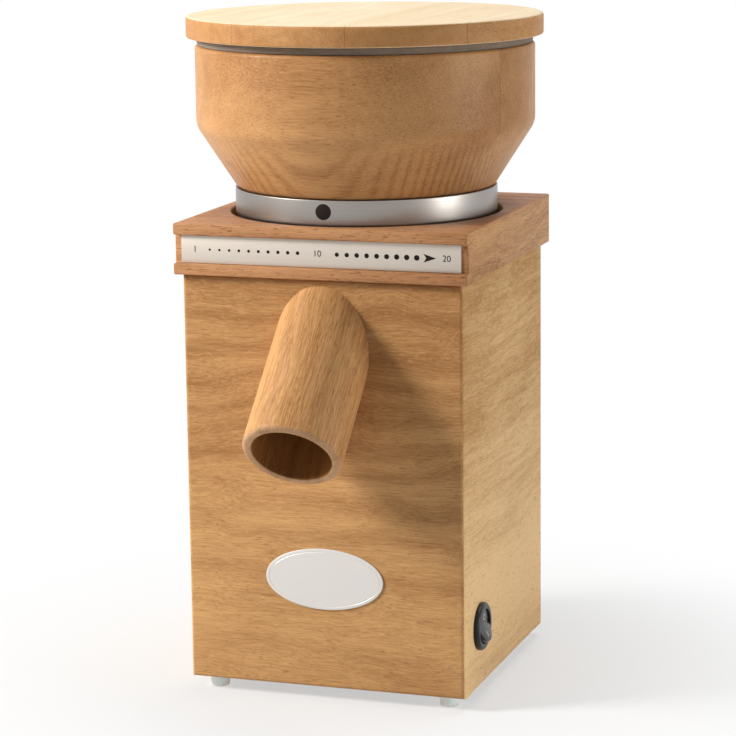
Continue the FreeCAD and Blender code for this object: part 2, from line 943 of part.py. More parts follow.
def lower_stone_carrier():
    """The plate on the shaft that carries the lower stone and sweeps flour to the duct."""
    plate = cylinder(rotor_plate_radius, rotor_plate_bottom, lower_stone_bottom)
    for x, y, angle in around(sweeper_count, 0, sweeper_first_angle):
        arm = box(
            rotor_plate_radius - sweeper_width,
            rotor_plate_radius + sweeper_length,
            -sweeper_width / 2,
            sweeper_width / 2,
            rotor_plate_bottom,
            rotor_plate_bottom + sweeper_height,
        )
        arm.rotate(CENTRE, Z_AXIS, angle)
        plate = plate.fuse(arm)
    plate = plate.fuse(cylinder(lower_stone_bore, rotor_plate_bottom, lower_stone_top))
    bore = cylinder(shaft_top_radius, rotor_plate_bottom - through_cut, lower_stone_top + through_cut)
    return plate.cut(bore).removeSplitter()


def furrowed(stone, face_level, eye):
    """A stone with slanting furrows cut into its milling face."""
    for x, y, angle in around(furrow_count, 0):
        furrow = box(
            eye - through_cut,
            stone_radius + 2 * through_cut,
            -furrow_width / 2,
            furrow_width / 2,
            face_level - furrow_depth,
            face_level + furrow_depth,
        )
        furrow.rotate(V(eye, 0, 0), Z_AXIS, furrow_slant)
        furrow.rotate(CENTRE, Z_AXIS, angle)
        stone = stone.cut(furrow)
    return stone


def lower_millstone():
    stone = tube(stone_radius, lower_stone_bore, lower_stone_bottom, lower_stone_top)
    return furrowed(stone, lower_stone_top, washer_radius)


def upper_millstone():
    stone = tube(stone_radius, upper_stone_eye, upper_stone_bottom, upper_stone_top)
    return furrowed(stone, upper_stone_bottom, upper_stone_eye)


def stone_washer():
    return tube(washer_radius, shaft_top_radius, lower_stone_top, lower_stone_top + washer_thickness)


def stone_nut():
    low = lower_stone_top + washer_thickness
    circle = stone_nut_flats / 2 / math.cos(math.radians(hexagon_half_angle))
    points = [V(x, y, low) for x, y, angle in around(hexagon_sides, circle)]
    nut = Part.Face(Part.makePolygon(points + [points[0]])).extrude(Z_AXIS * stone_nut_height)
    return nut.cut(cylinder(shaft_top_radius, low - through_cut, low + stone_nut_height + through_cut))


def upper_stone_carrier():
    """The cup that the upper stone is glued into, with a lug sliding on each guide pin."""
    cup = turned(
        [
            (upper_stone_eye, upper_stone_top),
            (stone_radius, upper_stone_top),
            (stone_radius, carrier_top_level - carrier_skirt),
            (carrier_radius, carrier_top_level - carrier_skirt),
            (carrier_radius, carrier_top_level),
            (upper_stone_eye, carrier_top_level),
        ]
    )
    rim_radius = collar_radius - ring_collar_wall / 2
    lug_bottom = carrier_top_level - lug_thickness
    cup = cup.fuse(tube(rim_radius, stone_radius + carrier_wall / 2, lug_bottom, carrier_top_level))
    for x, y, angle in guide_places:
        lug = box(
            carrier_radius - through_cut,
            carrier_reach,
            -lug_width / 2,
            lug_width / 2,
            lug_bottom,
            carrier_top_level,
        )
        lug.rotate(CENTRE, Z_AXIS, angle)
        cup = cup.fuse(lug)
    for x, y, angle in guide_places:
        hole = cylinder(guide_pin_radius + running_gap, head_bottom, carrier_top_level + through_cut, x, y)
        cup = cup.cut(hole)
    return cup.removeSplitter()


def hopper_ring():
    """The turned metal ring under the hopper: the bright band, the threaded collar and the screwed web."""
    web_bottom = ring_top - ring_web_thickness
    body_bottom = ring_bottom + ring_skirt_depth
    collar_inner = collar_radius - ring_collar_wall
    ring = turned(
        [
            (ring_web_bore, ring_top),
            (ring_radius, ring_top),
            (ring_radius, ring_bottom),
            (ring_radius - ring_skirt_wall, ring_bottom),
            (ring_radius - ring_skirt_wall, body_bottom),
            (collar_radius, body_bottom),
            (collar_radius, carrier_top_level),
            (collar_inner, carrier_top_level),
            (collar_inner, web_bottom),
            (ring_web_bore, web_bottom),
        ]
    )
    ring = rounded(ring, ring_edge_round, lambda edge: is_circle_at(edge, ring_radius, ring_bottom))
    ring = pierced(ring, ring_screw_places, Z_AXIS, small_screw_length, small_screw_radius, small_screw_head)
    return ring.cut(marker_cylinder(ring_radius - marker_depth))


def marker_cylinder(start):
    """A short cylinder along -Y at the marker's height, from one distance off the axis outwards."""
    height = ring_top - marker_below_ring_top
    return Part.makeCylinder(marker_radius, ring_radius, V(0, -start, height), -Y_AXIS)


def marker_dot():
    """The dark pointer dot let into the front of the hopper ring."""
    dot = marker_cylinder(ring_radius - marker_depth)
    return dot.common(cylinder(ring_radius + marker_proud, ring_bottom, ring_top))


def hopper_ring_screws():
    return [
        screw(place, Z_AXIS, small_screw_length, small_screw_radius, small_screw_head)
        for place in ring_screw_places
    ]


def funnel_foot():
    """The level where the hopper's funnel reaches the feed tube."""
    return ring_top + feed_tube_flange_thickness + feed_tube_stand


def hopper():
    """The turned wooden hopper: a cylinder on a cone outside, a bowl with a funnel floor inside."""
    knuckle = ring_top + hopper_cone_height
    outer = turned(
        [
            (0, ring_top),
            (hopper_base_radius, ring_top),
            (hopper_radius, knuckle),
            (hopper_radius, hopper_top),
            (0, hopper_top),
        ]
    )
    outer = rounded(outer, hopper_base_round, lambda edge: is_circle_at(edge, hopper_base_radius, ring_top))
    outer = rounded(outer, hopper_knuckle_round, lambda edge: is_circle_at(edge, hopper_radius, knuckle))
    funnel_slope = math.tan(math.radians(hopper_funnel_angle))
    funnel_top = funnel_foot() + (bowl_radius - feed_tube_radius) * funnel_slope
    bowl = turned(
        [
            (0, funnel_foot()),
            (feed_tube_radius, funnel_foot()),
            (bowl_radius, funnel_top),
            (bowl_radius, hopper_top + 2 * hopper_rim_round),
            (0, hopper_top + 2 * hopper_rim_round),
        ]
    )
    bowl = rounded(bowl, hopper_bowl_round, lambda edge: is_circle_at(edge, bowl_radius, funnel_top))
    shell = outer.cut(bowl)
    shell = shell.cut(cylinder(feed_tube_radius, ring_top - through_cut, funnel_foot() + through_cut))
    for radius in (bowl_radius, hopper_radius):
        shell = rounded(shell, hopper_rim_round, lambda edge: is_circle_at(edge, radius, hopper_top))
    return pierced(shell, ring_screw_places, Z_AXIS, small_screw_length, small_screw_radius, small_screw_head)


def feed_tube():
    """The tube that leads grain from the funnel into the eye of the upper stone."""
    inner = feed_tube_radius - feed_tube_wall
    return turned(
        [
            (inner, carrier_top_level + loose_gap),
            (feed_tube_radius, carrier_top_level + loose_gap),
            (feed_tube_radius, ring_top - feed_tube_flange_thickness),
            (feed_tube_flange, ring_top - feed_tube_flange_thickness),
            (feed_tube_flange, ring_top),
            (feed_tube_radius, ring_top),
            (feed_tube_radius, funnel_foot()),
            (inner, funnel_foot()),
        ]
    )


def finger_guard():
    """Two crossed bars in the mouth of the feed tube."""
    inner = feed_tube_radius - feed_tube_wall
    high = funnel_foot() - guard_depth
    low = high - guard_bar_height
    half = guard_bar_width / 2
    cross = box(-inner, inner, -half, half, low, high).fuse(box(-half, half, -inner, inner, low, high))
    return cross.removeSplitter().common(cylinder(inner, low, high))


def lid():
    """The turned wooden lid with a plug that drops into the bowl."""
    plate = cylinder(lid_radius, lid_bottom, lid_top)
    plate = rounded(plate, lid_top_round, lambda edge: is_circle_at(edge, lid_radius, lid_top))
    plate = rounded(plate, lid_bottom_round, lambda edge: is_circle_at(edge, lid_radius, lid_bottom))
    plug_bottom = lid_bottom - lid_seal_height - lid_plug_depth
    plug = cylinder(lid_plug_radius, plug_bottom, lid_bottom)
    plug = rounded(plug, lid_bottom_round, lambda edge: is_circle_at(edge, lid_plug_radius, plug_bottom))
    return plate.fuse(plug).removeSplitter()


def lid_seal():
    """The pale felt ring under the lid that rests on the hopper's rim."""
    return tube(lid_seal_outer_radius, lid_plug_radius, lid_bottom - lid_seal_height, lid_bottom)


def capacitor_centre():
    """The rear right corner, a clip's thickness off both panels."""
    offset = capacitor_radius + capacitor_clip_wall
    return inner_half_width - offset, inner_half_depth - offset


def motor_capacitor():
    x, y = capacitor_centre()
    can = cylinder(capacitor_radius, capacitor_base_height, capacitor_base_height + capacitor_height, x, y)
    return rounded(can, capacitor_edge_round, lambda edge: isinstance(edge.Curve, Part.Circle))


def capacitor_clip():
    """The band that holds the capacitor against the back panel."""
    x, y = capacitor_centre()
    low = capacitor_base_height + capacitor_height / 2 - capacitor_clip_height / 2
    high = low + capacitor_clip_height
    band = tube(capacitor_radius + capacitor_clip_wall, capacitor_radius, low, high, x, y)
    tab_y = inner_half_depth - capacitor_clip_wall
    tab = box(x - capacitor_tab_length, x, tab_y, inner_half_depth, low, high)
    room = cylinder(capacitor_radius, low - through_cut, high + through_cut, x, y)
    return band.fuse(tab.cut(room)).removeSplitter()


def terminal_way_x(index):
    """The centre of one way of the terminal block."""
    return terminal_x + (index - (terminal_ways - 1) / 2) * terminal_width / terminal_ways


def terminal_block():
    """The block on the back panel where the leads are joined."""
    block = box(
        terminal_x - terminal_width / 2,
        terminal_x + terminal_width / 2,
        inner_half_depth - terminal_depth,
        inner_half_depth,
        terminal_base_height,
        terminal_base_height + terminal_height,
    )
    middle = terminal_base_height + terminal_height / 2
    for index in range(terminal_ways):
        start = V(terminal_way_x(index), inner_half_depth - terminal_depth, middle)
        block = block.cut(Part.makeCylinder(terminal_well_radius, terminal_depth / 2, start, Y_AXIS))
    return block


def blade_y(index):
    """The centre of one of the switch's contact blades."""
    return switch_y + (index - (switch_blade_count - 1) / 2) * switch_body_radius


def inner_leads():
    """The insulated leads from the terminal block down to the floor and up to the switch."""
    start_y = inner_half_depth - terminal_depth / 2 - lead_block_inset
    drop_level = base_top + lead_drop_gap
    blade_x = case_width / 2 - switch_body_length - switch_blade_length
    leads = []
    for index in range(switch_blade_count):
        start_x = terminal_way_x(index)
        run_x = blade_x - lead_switch_gap - index * lead_spacing
        run_level = base_top + lead_floor_gap + index * lead_level_step
        turn_y = start_y - lead_turn_offset - index * lead_turn_step
        end_y = blade_y(index)
        route = [
            V(start_x, start_y, terminal_base_height),
            V(start_x, start_y, drop_level),
            V(run_x, turn_y, run_level),
            V(run_x, end_y, run_level),
            V(run_x, end_y, switch_height),
            V(blade_x, end_y, switch_height),
        ]
        leads.append(lead(route, lead_bend_radius))
    return leads


def gland_ring(radius, start_y, length):
    """A round piece of the gland along Y."""
    return Part.makeCylinder(radius, length, V(gland_x, start_y, gland_height), Y_AXIS)


def cable_gland():
    """The empty bush in the back panel where a supply cord would enter."""
    outside = case_depth / 2
    inner_start = inner_half_depth - gland_tail
    thread = gland_ring(gland_thread_radius, inner_start, outside - inner_start)
    head = gland_ring(gland_head_radius, outside, gland_head_length)
    outer_end = outside + gland_head_length
    head = rounded(head, gland_edge_round, lambda edge: edge.BoundBox.YMin > outer_end - same_place)
    bore = gland_ring(gland_bore_radius, inner_start - through_cut, outer_end - inner_start + 2 * through_cut)
    return thread.fuse(head).cut(bore).removeSplitter()


def gland_nut():
    """The hexagonal nut that holds the gland from inside."""
    corner_places = around(hexagon_sides, gland_nut_radius)
    points = [V(gland_x + x, inner_half_depth, gland_height + y) for x, y, angle in corner_places]
    nut = Part.Face(Part.makePolygon(points + [points[0]])).extrude(-Y_AXIS * gland_nut_thickness)
    return nut.cut(gland_ring(gland_thread_radius, inner_half_depth - gland_tail, panel_thickness))


def across_panel(radius, start, end):
    """A cylinder along X on the switch's axis, measured outwards from the right panel's face."""
    return Part.makeCylinder(radius, end - start, switch_centre + X_AXIS * start, X_AXIS)


def switch_housing():
    """The round switch body with its bezel and its contact blades."""
    bezel = across_panel(switch_bezel_radius, 0, switch_bezel_proud)
    front_plane = case_width / 2 + switch_bezel_proud
    bezel = rounded(bezel, switch_bezel_round, lambda edge: edge.BoundBox.XMin > front_plane - same_place)
    body = across_panel(switch_body_radius, -switch_body_length, 0)
    well_floor = switch_floor - switch_body_length
    well = across_panel(switch_well_radius, well_floor, switch_bezel_proud + through_cut)
    housing = bezel.fuse(body).cut(well)
    pin_room = Part.makeCylinder(
        rocker_pin_radius + running_gap,
        2 * switch_body_radius,
        switch_centre - Y_AXIS * switch_body_radius,
        Y_AXIS,
    )
    housing = housing.cut(pin_room)
    x1 = case_width / 2 - switch_body_length
    x0 = x1 - switch_blade_length
    low = switch_height - switch_blade_thickness / 2
    for index in range(switch_blade_count):
        y0 = blade_y(index) - switch_blade_width / 2
        blade = box(x0, x1, y0, y0 + switch_blade_width, low, low + switch_blade_thickness)
        housing = housing.fuse(blade)
    return housing.removeSplitter()


def switch_rocker():
    """The round rocker with a shallow V face, standing tilted so that its lower end is out."""
    half = switch_well_radius
    rise = half * math.tan(math.radians(rocker_tilt))
    profile = [
        V(-rocker_root, 0, -half),
        V(rocker_crest + rise, 0, -half),
        V(rocker_crest, 0, 0),
        V(rocker_crest + rise, 0, half),
        V(-rocker_root, 0, half),
    ]
    prism = Part.Face(Part.makePolygon(profile + [profile[0]])).extrude(Y_AXIS * 2 * half)
    prism.translate(V(0, -half, 0))
    rocker = prism.common(Part.makeSphere(rocker_radius))
    pin_reach = switch_body_radius - running_gap
    pins = Part.makeCylinder(rocker_pin_radius, 2 * pin_reach, V(0, -pin_reach, 0), Y_AXIS)
    rocker = rocker.fuse(pins).removeSplitter()
    rocker.rotate(CENTRE, Y_AXIS, -rocker_tilt)
    rocker.translate(switch_centre)
    return rocker


nodes = {
    "front_panel": front_panel(),
    "back_panel": back_panel(),
    "left_panel": without_dowels(side_panel(-1)),
    "right_panel": without_dowels(right_panel()),
    "base_board": base_board(),
    "base_cleats": base_cleats(),
    "base_screws": base_screws(),
    "foot_screws": foot_screws(),
    "head_block": head_block(),
    "head_dowels": head_dowels(),
    "scale_plate": scale_plate(),
    "oval_badge": oval_badge(),
    "spout": spout(),
    "milling_chamber": milling_chamber(),
    "chamber_screws": chamber_screws(),
    "thread_ring": thread_ring(),
    "thread_ring_screws": thread_ring_screws(),
    "guide_pins": guide_pins(),
    "carrier_springs": carrier_springs(),
    "dust_seal": dust_seal(),
    "shaft_seal": shaft_seal(),
    "upper_end_shield": upper_end_shield(),
    "lower_end_shield": lower_end_shield(),
    "upper_bearing": bearing(motor_top - bearing_height),
    "lower_bearing": bearing(motor_bottom),
    "stator_core": stator_core(),
    "stator_winding": stator_winding(),
    "motor_bolts": motor_bolts(),
    "motor_capacitor": motor_capacitor(),
    "capacitor_clip": capacitor_clip(),
    "terminal_block": terminal_block(),
    "inner_leads": inner_leads(),
    "cable_gland": cable_gland(),
    "gland_nut": gland_nut(),
    "switch_housing": switch_housing(),
    "switch_rocker": switch_rocker(),
    "motor_shaft": motor_shaft(),
    "rotor_core": rotor_core(),
    "cooling_fan": cooling_fan(),
    "lower_stone_carrier": lower_stone_carrier(),
    "lower_millstone": lower_millstone(),
    "stone_washer": stone_washer(),
    "stone_nut": stone_nut(),
    "upper_stone_carrier": upper_stone_carrier(),
    "upper_millstone": upper_millstone(),
    "hopper_ring": hopper_ring(),
    "hopper_ring_screws": hopper_ring_screws(),
    "marker_dot": marker_dot(),
    "hopper": hopper(),
    "feed_tube": feed_tube(),
    "finger_guard": finger_guard(),
    "lid": lid(),
    "lid_seal": lid_seal(),
}

foot_names = ("foot_front_left", "foot_rear_left", "foot_front_right", "foot_rear_right")
for name, place in zip(foot_names, foot_places):
    nodes[name] = foot(place)

# The spout's rounded rim is the foremost part of the mill, and the lid's edge is its rearmost
rim_radius = spout_radius - spout_edge_round
rim_centre_y = spout_end.y + spout_edge_round * math.cos(spout_angle)
foremost = rim_centre_y - rim_radius * math.sin(spout_angle) - spout_edge_round
to_middle = V(0, -(foremost + lid_radius) / 2, 0)

os.makedirs("parts", exist_ok=True)
for name, shape in nodes.items():
    if isinstance(shape, list):
        shape = Part.makeCompound(shape)
    shape.translate(to_middle)
    shape.exportStep(os.path.join("parts", name + ".step"))
    state = "valid" if shape.isValid() else "NOT VALID"
    print(name, len(shape.Solids), "solids", round(shape.Volume), "mm3", state)
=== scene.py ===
import bpy
import math
from mathutils import Matrix, Vector


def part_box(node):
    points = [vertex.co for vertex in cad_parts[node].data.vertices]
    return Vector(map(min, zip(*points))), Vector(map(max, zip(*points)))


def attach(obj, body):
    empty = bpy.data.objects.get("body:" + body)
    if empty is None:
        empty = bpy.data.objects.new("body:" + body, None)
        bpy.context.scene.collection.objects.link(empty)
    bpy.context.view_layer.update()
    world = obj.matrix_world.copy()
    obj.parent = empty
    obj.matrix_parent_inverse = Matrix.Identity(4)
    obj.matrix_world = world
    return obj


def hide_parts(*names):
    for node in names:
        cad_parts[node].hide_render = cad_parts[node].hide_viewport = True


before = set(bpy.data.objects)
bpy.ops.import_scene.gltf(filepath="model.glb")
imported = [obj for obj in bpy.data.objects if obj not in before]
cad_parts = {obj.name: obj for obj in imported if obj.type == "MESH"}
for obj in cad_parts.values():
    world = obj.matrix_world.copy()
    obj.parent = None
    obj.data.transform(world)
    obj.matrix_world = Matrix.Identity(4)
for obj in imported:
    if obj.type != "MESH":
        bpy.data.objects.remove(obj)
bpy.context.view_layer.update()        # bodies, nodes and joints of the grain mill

mm = 0.001
quarter = math.pi / 2
samePlace = 0.01 * mm
spoutTilt = 43.2         # degrees down from level
axisY = sum(corner[1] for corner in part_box("hopper_ring")) / 2
axisFoot = Vector((0.0, axisY, 0.0))        # the turning axis stands here, behind the origin
print("frame loaded:", len(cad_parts), "nodes")


# One socket of a node tree, so that shader maths reads as plain expressions
class Wire:
    def __init__(self, tree, socket):
        self.tree = tree
        self.socket = socket

    def maths(self, operation, *values):
        node = self.tree.nodes.new("ShaderNodeMath")
        node.operation = operation
        for slot, value in zip(node.inputs, values):
            plug(self.tree, slot, value)
        return Wire(self.tree, node.outputs[0])

    def __add__(self, other):
        return self.maths("ADD", self, other)

    def __sub__(self, other):
        return self.maths("SUBTRACT", self, other)

    def __rsub__(self, other):
        return self.maths("SUBTRACT", other, self)

    def __mul__(self, other):
        return self.maths("MULTIPLY", self, other)

    def __pow__(self, other):
        return self.maths("POWER", self, other)

    def __gt__(self, other):
        return self.maths("GREATER_THAN", self, other)

    __radd__ = __add__
    __rmul__ = __mul__


def plug(tree, socket, value):
    if isinstance(value, Wire):
        tree.links.new(value.socket, socket)
    else:
        socket.default_value = value


# The nodes of a material or of the world, and the one way to add a node to them
class Finish:
    def __init__(self, owner):
        self.owner = owner
        owner.use_nodes = True
        self.tree = owner.node_tree
        self.tree.nodes.clear()

    def node(self, kind, settings=None, values=None, out=0):
        node = self.tree.nodes.new("ShaderNode" + kind)
        for key, value in (settings or {}).items():
            setattr(node, key, value)
        for key, value in (values or {}).items():
            plug(self.tree, node.inputs[key], value)
        return Wire(self.tree, node.outputs[out]) if node.outputs else None

    def outputs(self, kind, values=None):
        # all outputs of a node by their names
        first = self.node(kind, None, values)
        return {socket.name: Wire(self.tree, socket) for socket in first.socket.node.outputs}

    def smooth(self, value, low, high):
        settings = {"interpolation_type": "SMOOTHSTEP"}
        return self.node("MapRange", settings, {"Value": value, "From Min": low, "From Max": high})

    def mix(self, factor, first, second):
        return self.node("Mix", {"data_type": "RGBA"}, {0: factor, 6: first, 7: second}, out=2)

    def vector(self, x, y, z):
        return self.node("CombineXYZ", None, {"X": x, "Y": y, "Z": z})

    def split(self, vector):
        return list(self.outputs("SeparateXYZ", {0: vector}).values())

    def stretched(self, parts, scale):
        return self.vector(*[part * factor for part, factor in zip(parts, scale)])

    def noise(self, vector, detail=2.0, rough=0.5):
        values = {"Vector": vector, "Scale": 1.0, "Detail": detail, "Roughness": rough}
        return self.node("TexNoise", None, values)

    def seenFrom(self):
        # 1 for what the camera, a reflection or a clear piece sees, 0 for light on the object
        rays = self.outputs("LightPath")
        seen = rays["Is Camera Ray"] + rays["Is Glossy Ray"] + rays["Is Transmission Ray"]
        return seen.maths("MINIMUM", seen, 1.0)

    def millimetres(self, turn=(0.0, 0.0, 0.0)):
        # object coordinates in millimetres from the turning axis, turned so that the grain runs along X
        here = self.node("TexCoord", out=3)
        fromAxis = self.node("VectorMath", {"operation": "SUBTRACT"}, {0: here, 1: axisFoot})
        scale = (1 / mm, 1 / mm, 1 / mm)
        return self.node("Mapping", None, {"Vector": fromAxis, "Rotation": turn, "Scale": scale})

    def surface(self, values, height, strength, depth=0.2 * mm):
        normal = self.node("Bump", None, {"Strength": strength, "Distance": depth, "Height": height})
        shader = self.node("BsdfPrincipled", None, {**values, "Normal": normal})
        self.node("OutputMaterial", None, {"Surface": shader})
        return self.owner


def newFinish(name):
    return Finish(bpy.data.materials.new(name))


def colour(red, green, blue):
    # an sRGB colour of 0 to 255 as Blender's linear values
    linear = []
    for value in (red, green, blue):
        share = value / 255
        linear.append(share / 12.92 if share <= 0.04045 else ((share + 0.055) / 1.055) ** 2.4)
    return (*linear, 1.0)


# Noise of the grain: repeats per millimetre along and across it, detail and roughness
grainNoise = {
    "slow": (0.009, 0.014, 2.0, 0.5),
    "ripple": (0.05, 0.06, 2.0, 0.5),
    "broad": (0.007, 0.02, 2.0, 0.5),
    "band": (0.008, 0.15, 3.0, 0.6),
    "fibre": (0.06, 1.3, 3.0, 0.7),
    "fleck": (1.0, 1.7, 1.0, 0.5),
    "glint": (1.0, 1.5, 1.0, 0.5),
}
# Lengths in millimetres; climb and fade are two levels and how much the tone or the rings change between them
beechBase = {
    "turn": (0.0, 0.0, 0.0), "seed": 1.0, "pith": (60.0, -90.0), "ringWidth": 7.0, "ringSharp": 1.8,
    "wander": 18.0, "ripple": 1.0, "fade": (0.0, 1.0, 0.0),
    "broad": 1.2, "band": 1.0, "rings": 0.08, "fibre": 1.25, "tone": 0.42, "climb": (0.0, 1.0, 0.0),
    "toneRange": (-0.1, 1.1), "light": colour(218, 170, 114), "dark": colour(157, 109, 64),
    "fleck": colour(122, 78, 42), "flecks": 0.5, "fleckLong": 0.2, "fleckFrom": 0.62, "fleckFade": 0.09,
    "fleckOffset": 5.0, "glints": 0.3, "glintRange": (0.58, 0.7), "glintOffset": 31.0,
    "joints": (), "plankStep": 61.7, "plankShift": 23.0, "plankTone": 0.25,
    "seam": (0.05, 0.35), "seamShade": 0.45,
    "rough": 0.5, "fibreRough": 0.16, "fleckRough": 0.08, "sheen": 0.14, "bump": 0.14, "fibreDepth": 0.6,
}


# Oiled beech: growth rings round a pith line, bands, fine fibres and short dark flecks
def beech(name, **changes):
    look = {**beechBase, **changes}
    finish = newFinish(name)
    along, across, up = finish.split(finish.millimetres(look["turn"]))
    if look["joints"]:
        plank = sum(across > joint for joint in look["joints"])
        along = along + plank * look["plankStep"]
        up = up + plank * look["plankShift"]
        plankTone = finish.node("TexWhiteNoise", {"noise_dimensions": "1D"}, {"W": plank + look["seed"]})
        seam = 1.0
        for joint in look["joints"]:
            gap = across - joint
            seam = finish.smooth(gap.maths("ABSOLUTE", gap), *look["seam"]) * seam

    def figure(kind, y, z, offset=0.0, stretch=1.0):
        lengthwise, crosswise, detail, rough = grainNoise[kind]
        spot = finish.vector(along * (lengthwise * stretch), y * crosswise, z * crosswise + offset)
        return finish.noise(spot, detail, rough)

    slow = figure("slow", across, up, look["seed"]) - 0.5
    ripple = figure("ripple", across, up, look["seed"]) - 0.5
    rank = across + slow * look["wander"] + ripple * look["ripple"]
    lane = up + slow * look["wander"] + ripple * look["ripple"]
    fromPithY = rank - look["pith"][0]
    fromPithZ = lane - look["pith"][1]
    radius = (fromPithY * fromPithY + fromPithZ * fromPithZ) ** 0.5
    phase = radius * (2 * math.pi / look["ringWidth"])
    low, high, loss = look["fade"]
    kept = 1.0 - finish.smooth(up, low, high) * loss
    rings = (phase.maths("SINE", phase) * 0.5 + 0.5) ** look["ringSharp"] * kept
    broad = figure("broad", rank, lane, look["seed"]) - 0.5
    band = figure("band", rank, lane, look["seed"]) - 0.5
    fibre = figure("fibre", rank, lane) - 0.5
    speck = figure("fleck", rank, lane, look["fleckOffset"], look["fleckLong"])
    flecks = finish.smooth(speck, look["fleckFrom"], look["fleckFrom"] + look["fleckFade"])
    glint = figure("glint", rank, lane, look["glintOffset"], look["fleckLong"])
    glints = finish.smooth(glint, *look["glintRange"])
    tone = broad * look["broad"] + band * look["band"] + fibre * look["fibre"] + rings * look["rings"]
    low, high, gain = look["climb"]
    tone = tone + look["tone"] + finish.smooth(up, low, high) * gain
    wood = finish.mix(finish.smooth(tone, *look["toneRange"]), look["light"], look["dark"])
    wood = finish.mix(glints * look["glints"], wood, look["light"])
    wood = finish.mix(flecks * look["flecks"], wood, look["fleck"])
    if look["joints"]:
        wood = finish.mix(plankTone * look["plankTone"], wood, look["dark"])
        wood = finish.mix(look["seamShade"] - seam * look["seamShade"], wood, look["fleck"])
    rough = fibre * look["fibreRough"] + flecks * look["fleckRough"] + look["rough"]
    values = {"Base Color": wood, "Roughness": rough, "Specular IOR Level": look["sheen"]}
    return finish.surface(values, fibre * look["fibreDepth"] - flecks, look["bump"])


grainAlongY = (0.0, 0.0, quarter)
grainAlongSpout = (-math.radians(spoutTilt), 0.0, quarter)
lidJoints = (-43.0, 20.6, 74.5)
woods = {
    "front": beech(
        "beechFront", seed=3.0, pith=(-140.0, 30.0), wander=34.0, ringWidth=14.0, rings=0.18, band=0.55,
        fibre=1.2, broad=1.0, fleckLong=0.24, climb=(60.0, 240.0, 0.24), tone=0.36, flecks=0.36,
    ),
    # the side boards darken towards the top (climb): partly their own tone, partly painted shade, as their
    # lower part takes light thrown up from the floor
    "side": beech(
        "beechSide", turn=grainAlongY, seed=5.0, light=colour(240, 202, 148), dark=colour(174, 124, 60),
        broad=1.2, band=0.7, fibre=0.9, rings=0.05, flecks=0.35, climb=(20.0, 200.0, 0.62), tone=0.06,
        sheen=0.08,
    ),
    "head": beech(
        "beechHead", seed=7.0, light=colour(200, 148, 104), dark=colour(140, 90, 54),
        fleck=colour(104, 62, 36), flecks=0.7, wander=8.0,
    ),
    "headSide": beech(
        "beechHeadSide", turn=grainAlongY, seed=8.0, light=colour(204, 154, 102), dark=colour(142, 94, 52),
        band=1.6, fibre=1.7,
    ),
    "spout": beech(
        "beechSpout", turn=grainAlongSpout, seed=9.0, light=colour(214, 164, 108), dark=colour(158, 108, 62),
        fibre=1.9, wander=8.0, ripple=0.8, broad=0.8, glints=0.6, sheen=0.2,
    ),
    "mouth": beech(
        "beechMouth", turn=grainAlongSpout, seed=9.0, light=colour(206, 166, 126), dark=colour(158, 118, 82),
        flecks=0.2,
    ),
    # a darker copy of the spout's beech for the inside of its bore: painted shade in the bore
    "bore": beech(
        "beechBoreShaded", turn=grainAlongSpout, seed=9.0, light=colour(176, 120, 66), dark=colour(120, 74, 34),
    ),
    "hopper": beech(
        "beechHopper", seed=11.0, pith=(193.0, 396.0), ringWidth=3.2, wander=5.0, rings=0.24,
        joints=(-33.0, 27.0), plankShift=4.0, fade=(283.0, 300.0, 0.9), broad=1.0, band=0.4, fibre=1.0,
        light=colour(212, 162, 108), dark=colour(140, 88, 46), fleck=colour(104, 64, 32), fleckLong=0.16,
        tone=0.4, flecks=0.4, rough=0.42, sheen=0.18,
    ),
    # the lid's top and rim are the same planked beech; the top's far paler colours are painted light on the
    # top
    "lid": beech(
        "beechLid", turn=grainAlongY, seed=13.0, joints=lidJoints, light=colour(245, 231, 204),
        dark=colour(222, 194, 152), fleck=colour(180, 140, 96), flecks=0.25, plankTone=0.4, fibre=0.9,
    ),
    "lidRim": beech(
        "beechLidRim", turn=grainAlongY, seed=13.0, joints=lidJoints, light=colour(216, 166, 112),
        dark=colour(168, 116, 68), plankTone=0.45,
    ),
    "ply": beech("plainPly", seed=15.0, light=colour(214, 180, 132), dark=colour(176, 134, 86)),
}
print("woods mixed")


levelLines = (0.015, 0.015, 3.5)        # repeats per millimetre along X, Y and Z
uprightLines = (3.5, 3.5, 0.015)
metalBase = {
    "light": colour(214, 214, 214), "dark": colour(176, 176, 178), "rough": 0.3, "metal": 1.0,
    "lines": levelLines, "lineShade": 0.5, "lineRough": 0.12, "cloud": (0.03, 0.03, 0.03), "cloudShade": 0.25,
    "bump": 0.06, "depth": 0.05 * mm,
}


# Metal with fine turning or brushing lines
def brushedMetal(name, **changes):
    look = {**metalBase, **changes}
    finish = newFinish(name)
    parts = finish.split(finish.millimetres())
    lines = finish.noise(finish.stretched(parts, look["lines"]), 3.0, 0.7)
    cloud = finish.noise(finish.stretched(parts, look["cloud"]))
    shade = finish.mix(lines * look["lineShade"] + cloud * look["cloudShade"], look["light"], look["dark"])
    rough = lines * look["lineRough"] + look["rough"]
    values = {"Base Color": shade, "Roughness": rough, "Metallic": look["metal"]}
    return finish.surface(values, lines, look["bump"], look["depth"])


metals = {
    "ring": brushedMetal("ringMetal", light=colour(166, 161, 156), dark=colour(116, 111, 106)),
    "plate": brushedMetal(
        "plateMetal", light=colour(214, 205, 194), dark=colour(196, 186, 174), rough=0.36, metal=0.35
    ),
    "badge": brushedMetal(
        "badgeMetal", light=colour(228, 226, 222), dark=colour(212, 209, 204), rough=0.34, metal=0.25
    ),
    "shaft": brushedMetal("groundSteel", lines=uprightLines),
    "cast": brushedMetal("castAluminium", rough=0.5, light=colour(200, 201, 203)),
    "dark": brushedMetal("laminations", light=colour(96, 98, 104), dark=colour(66, 68, 74), rough=0.4),
    "copper": brushedMetal("windingCopper", light=colour(196, 112, 62), dark=colour(150, 78, 40)),
}

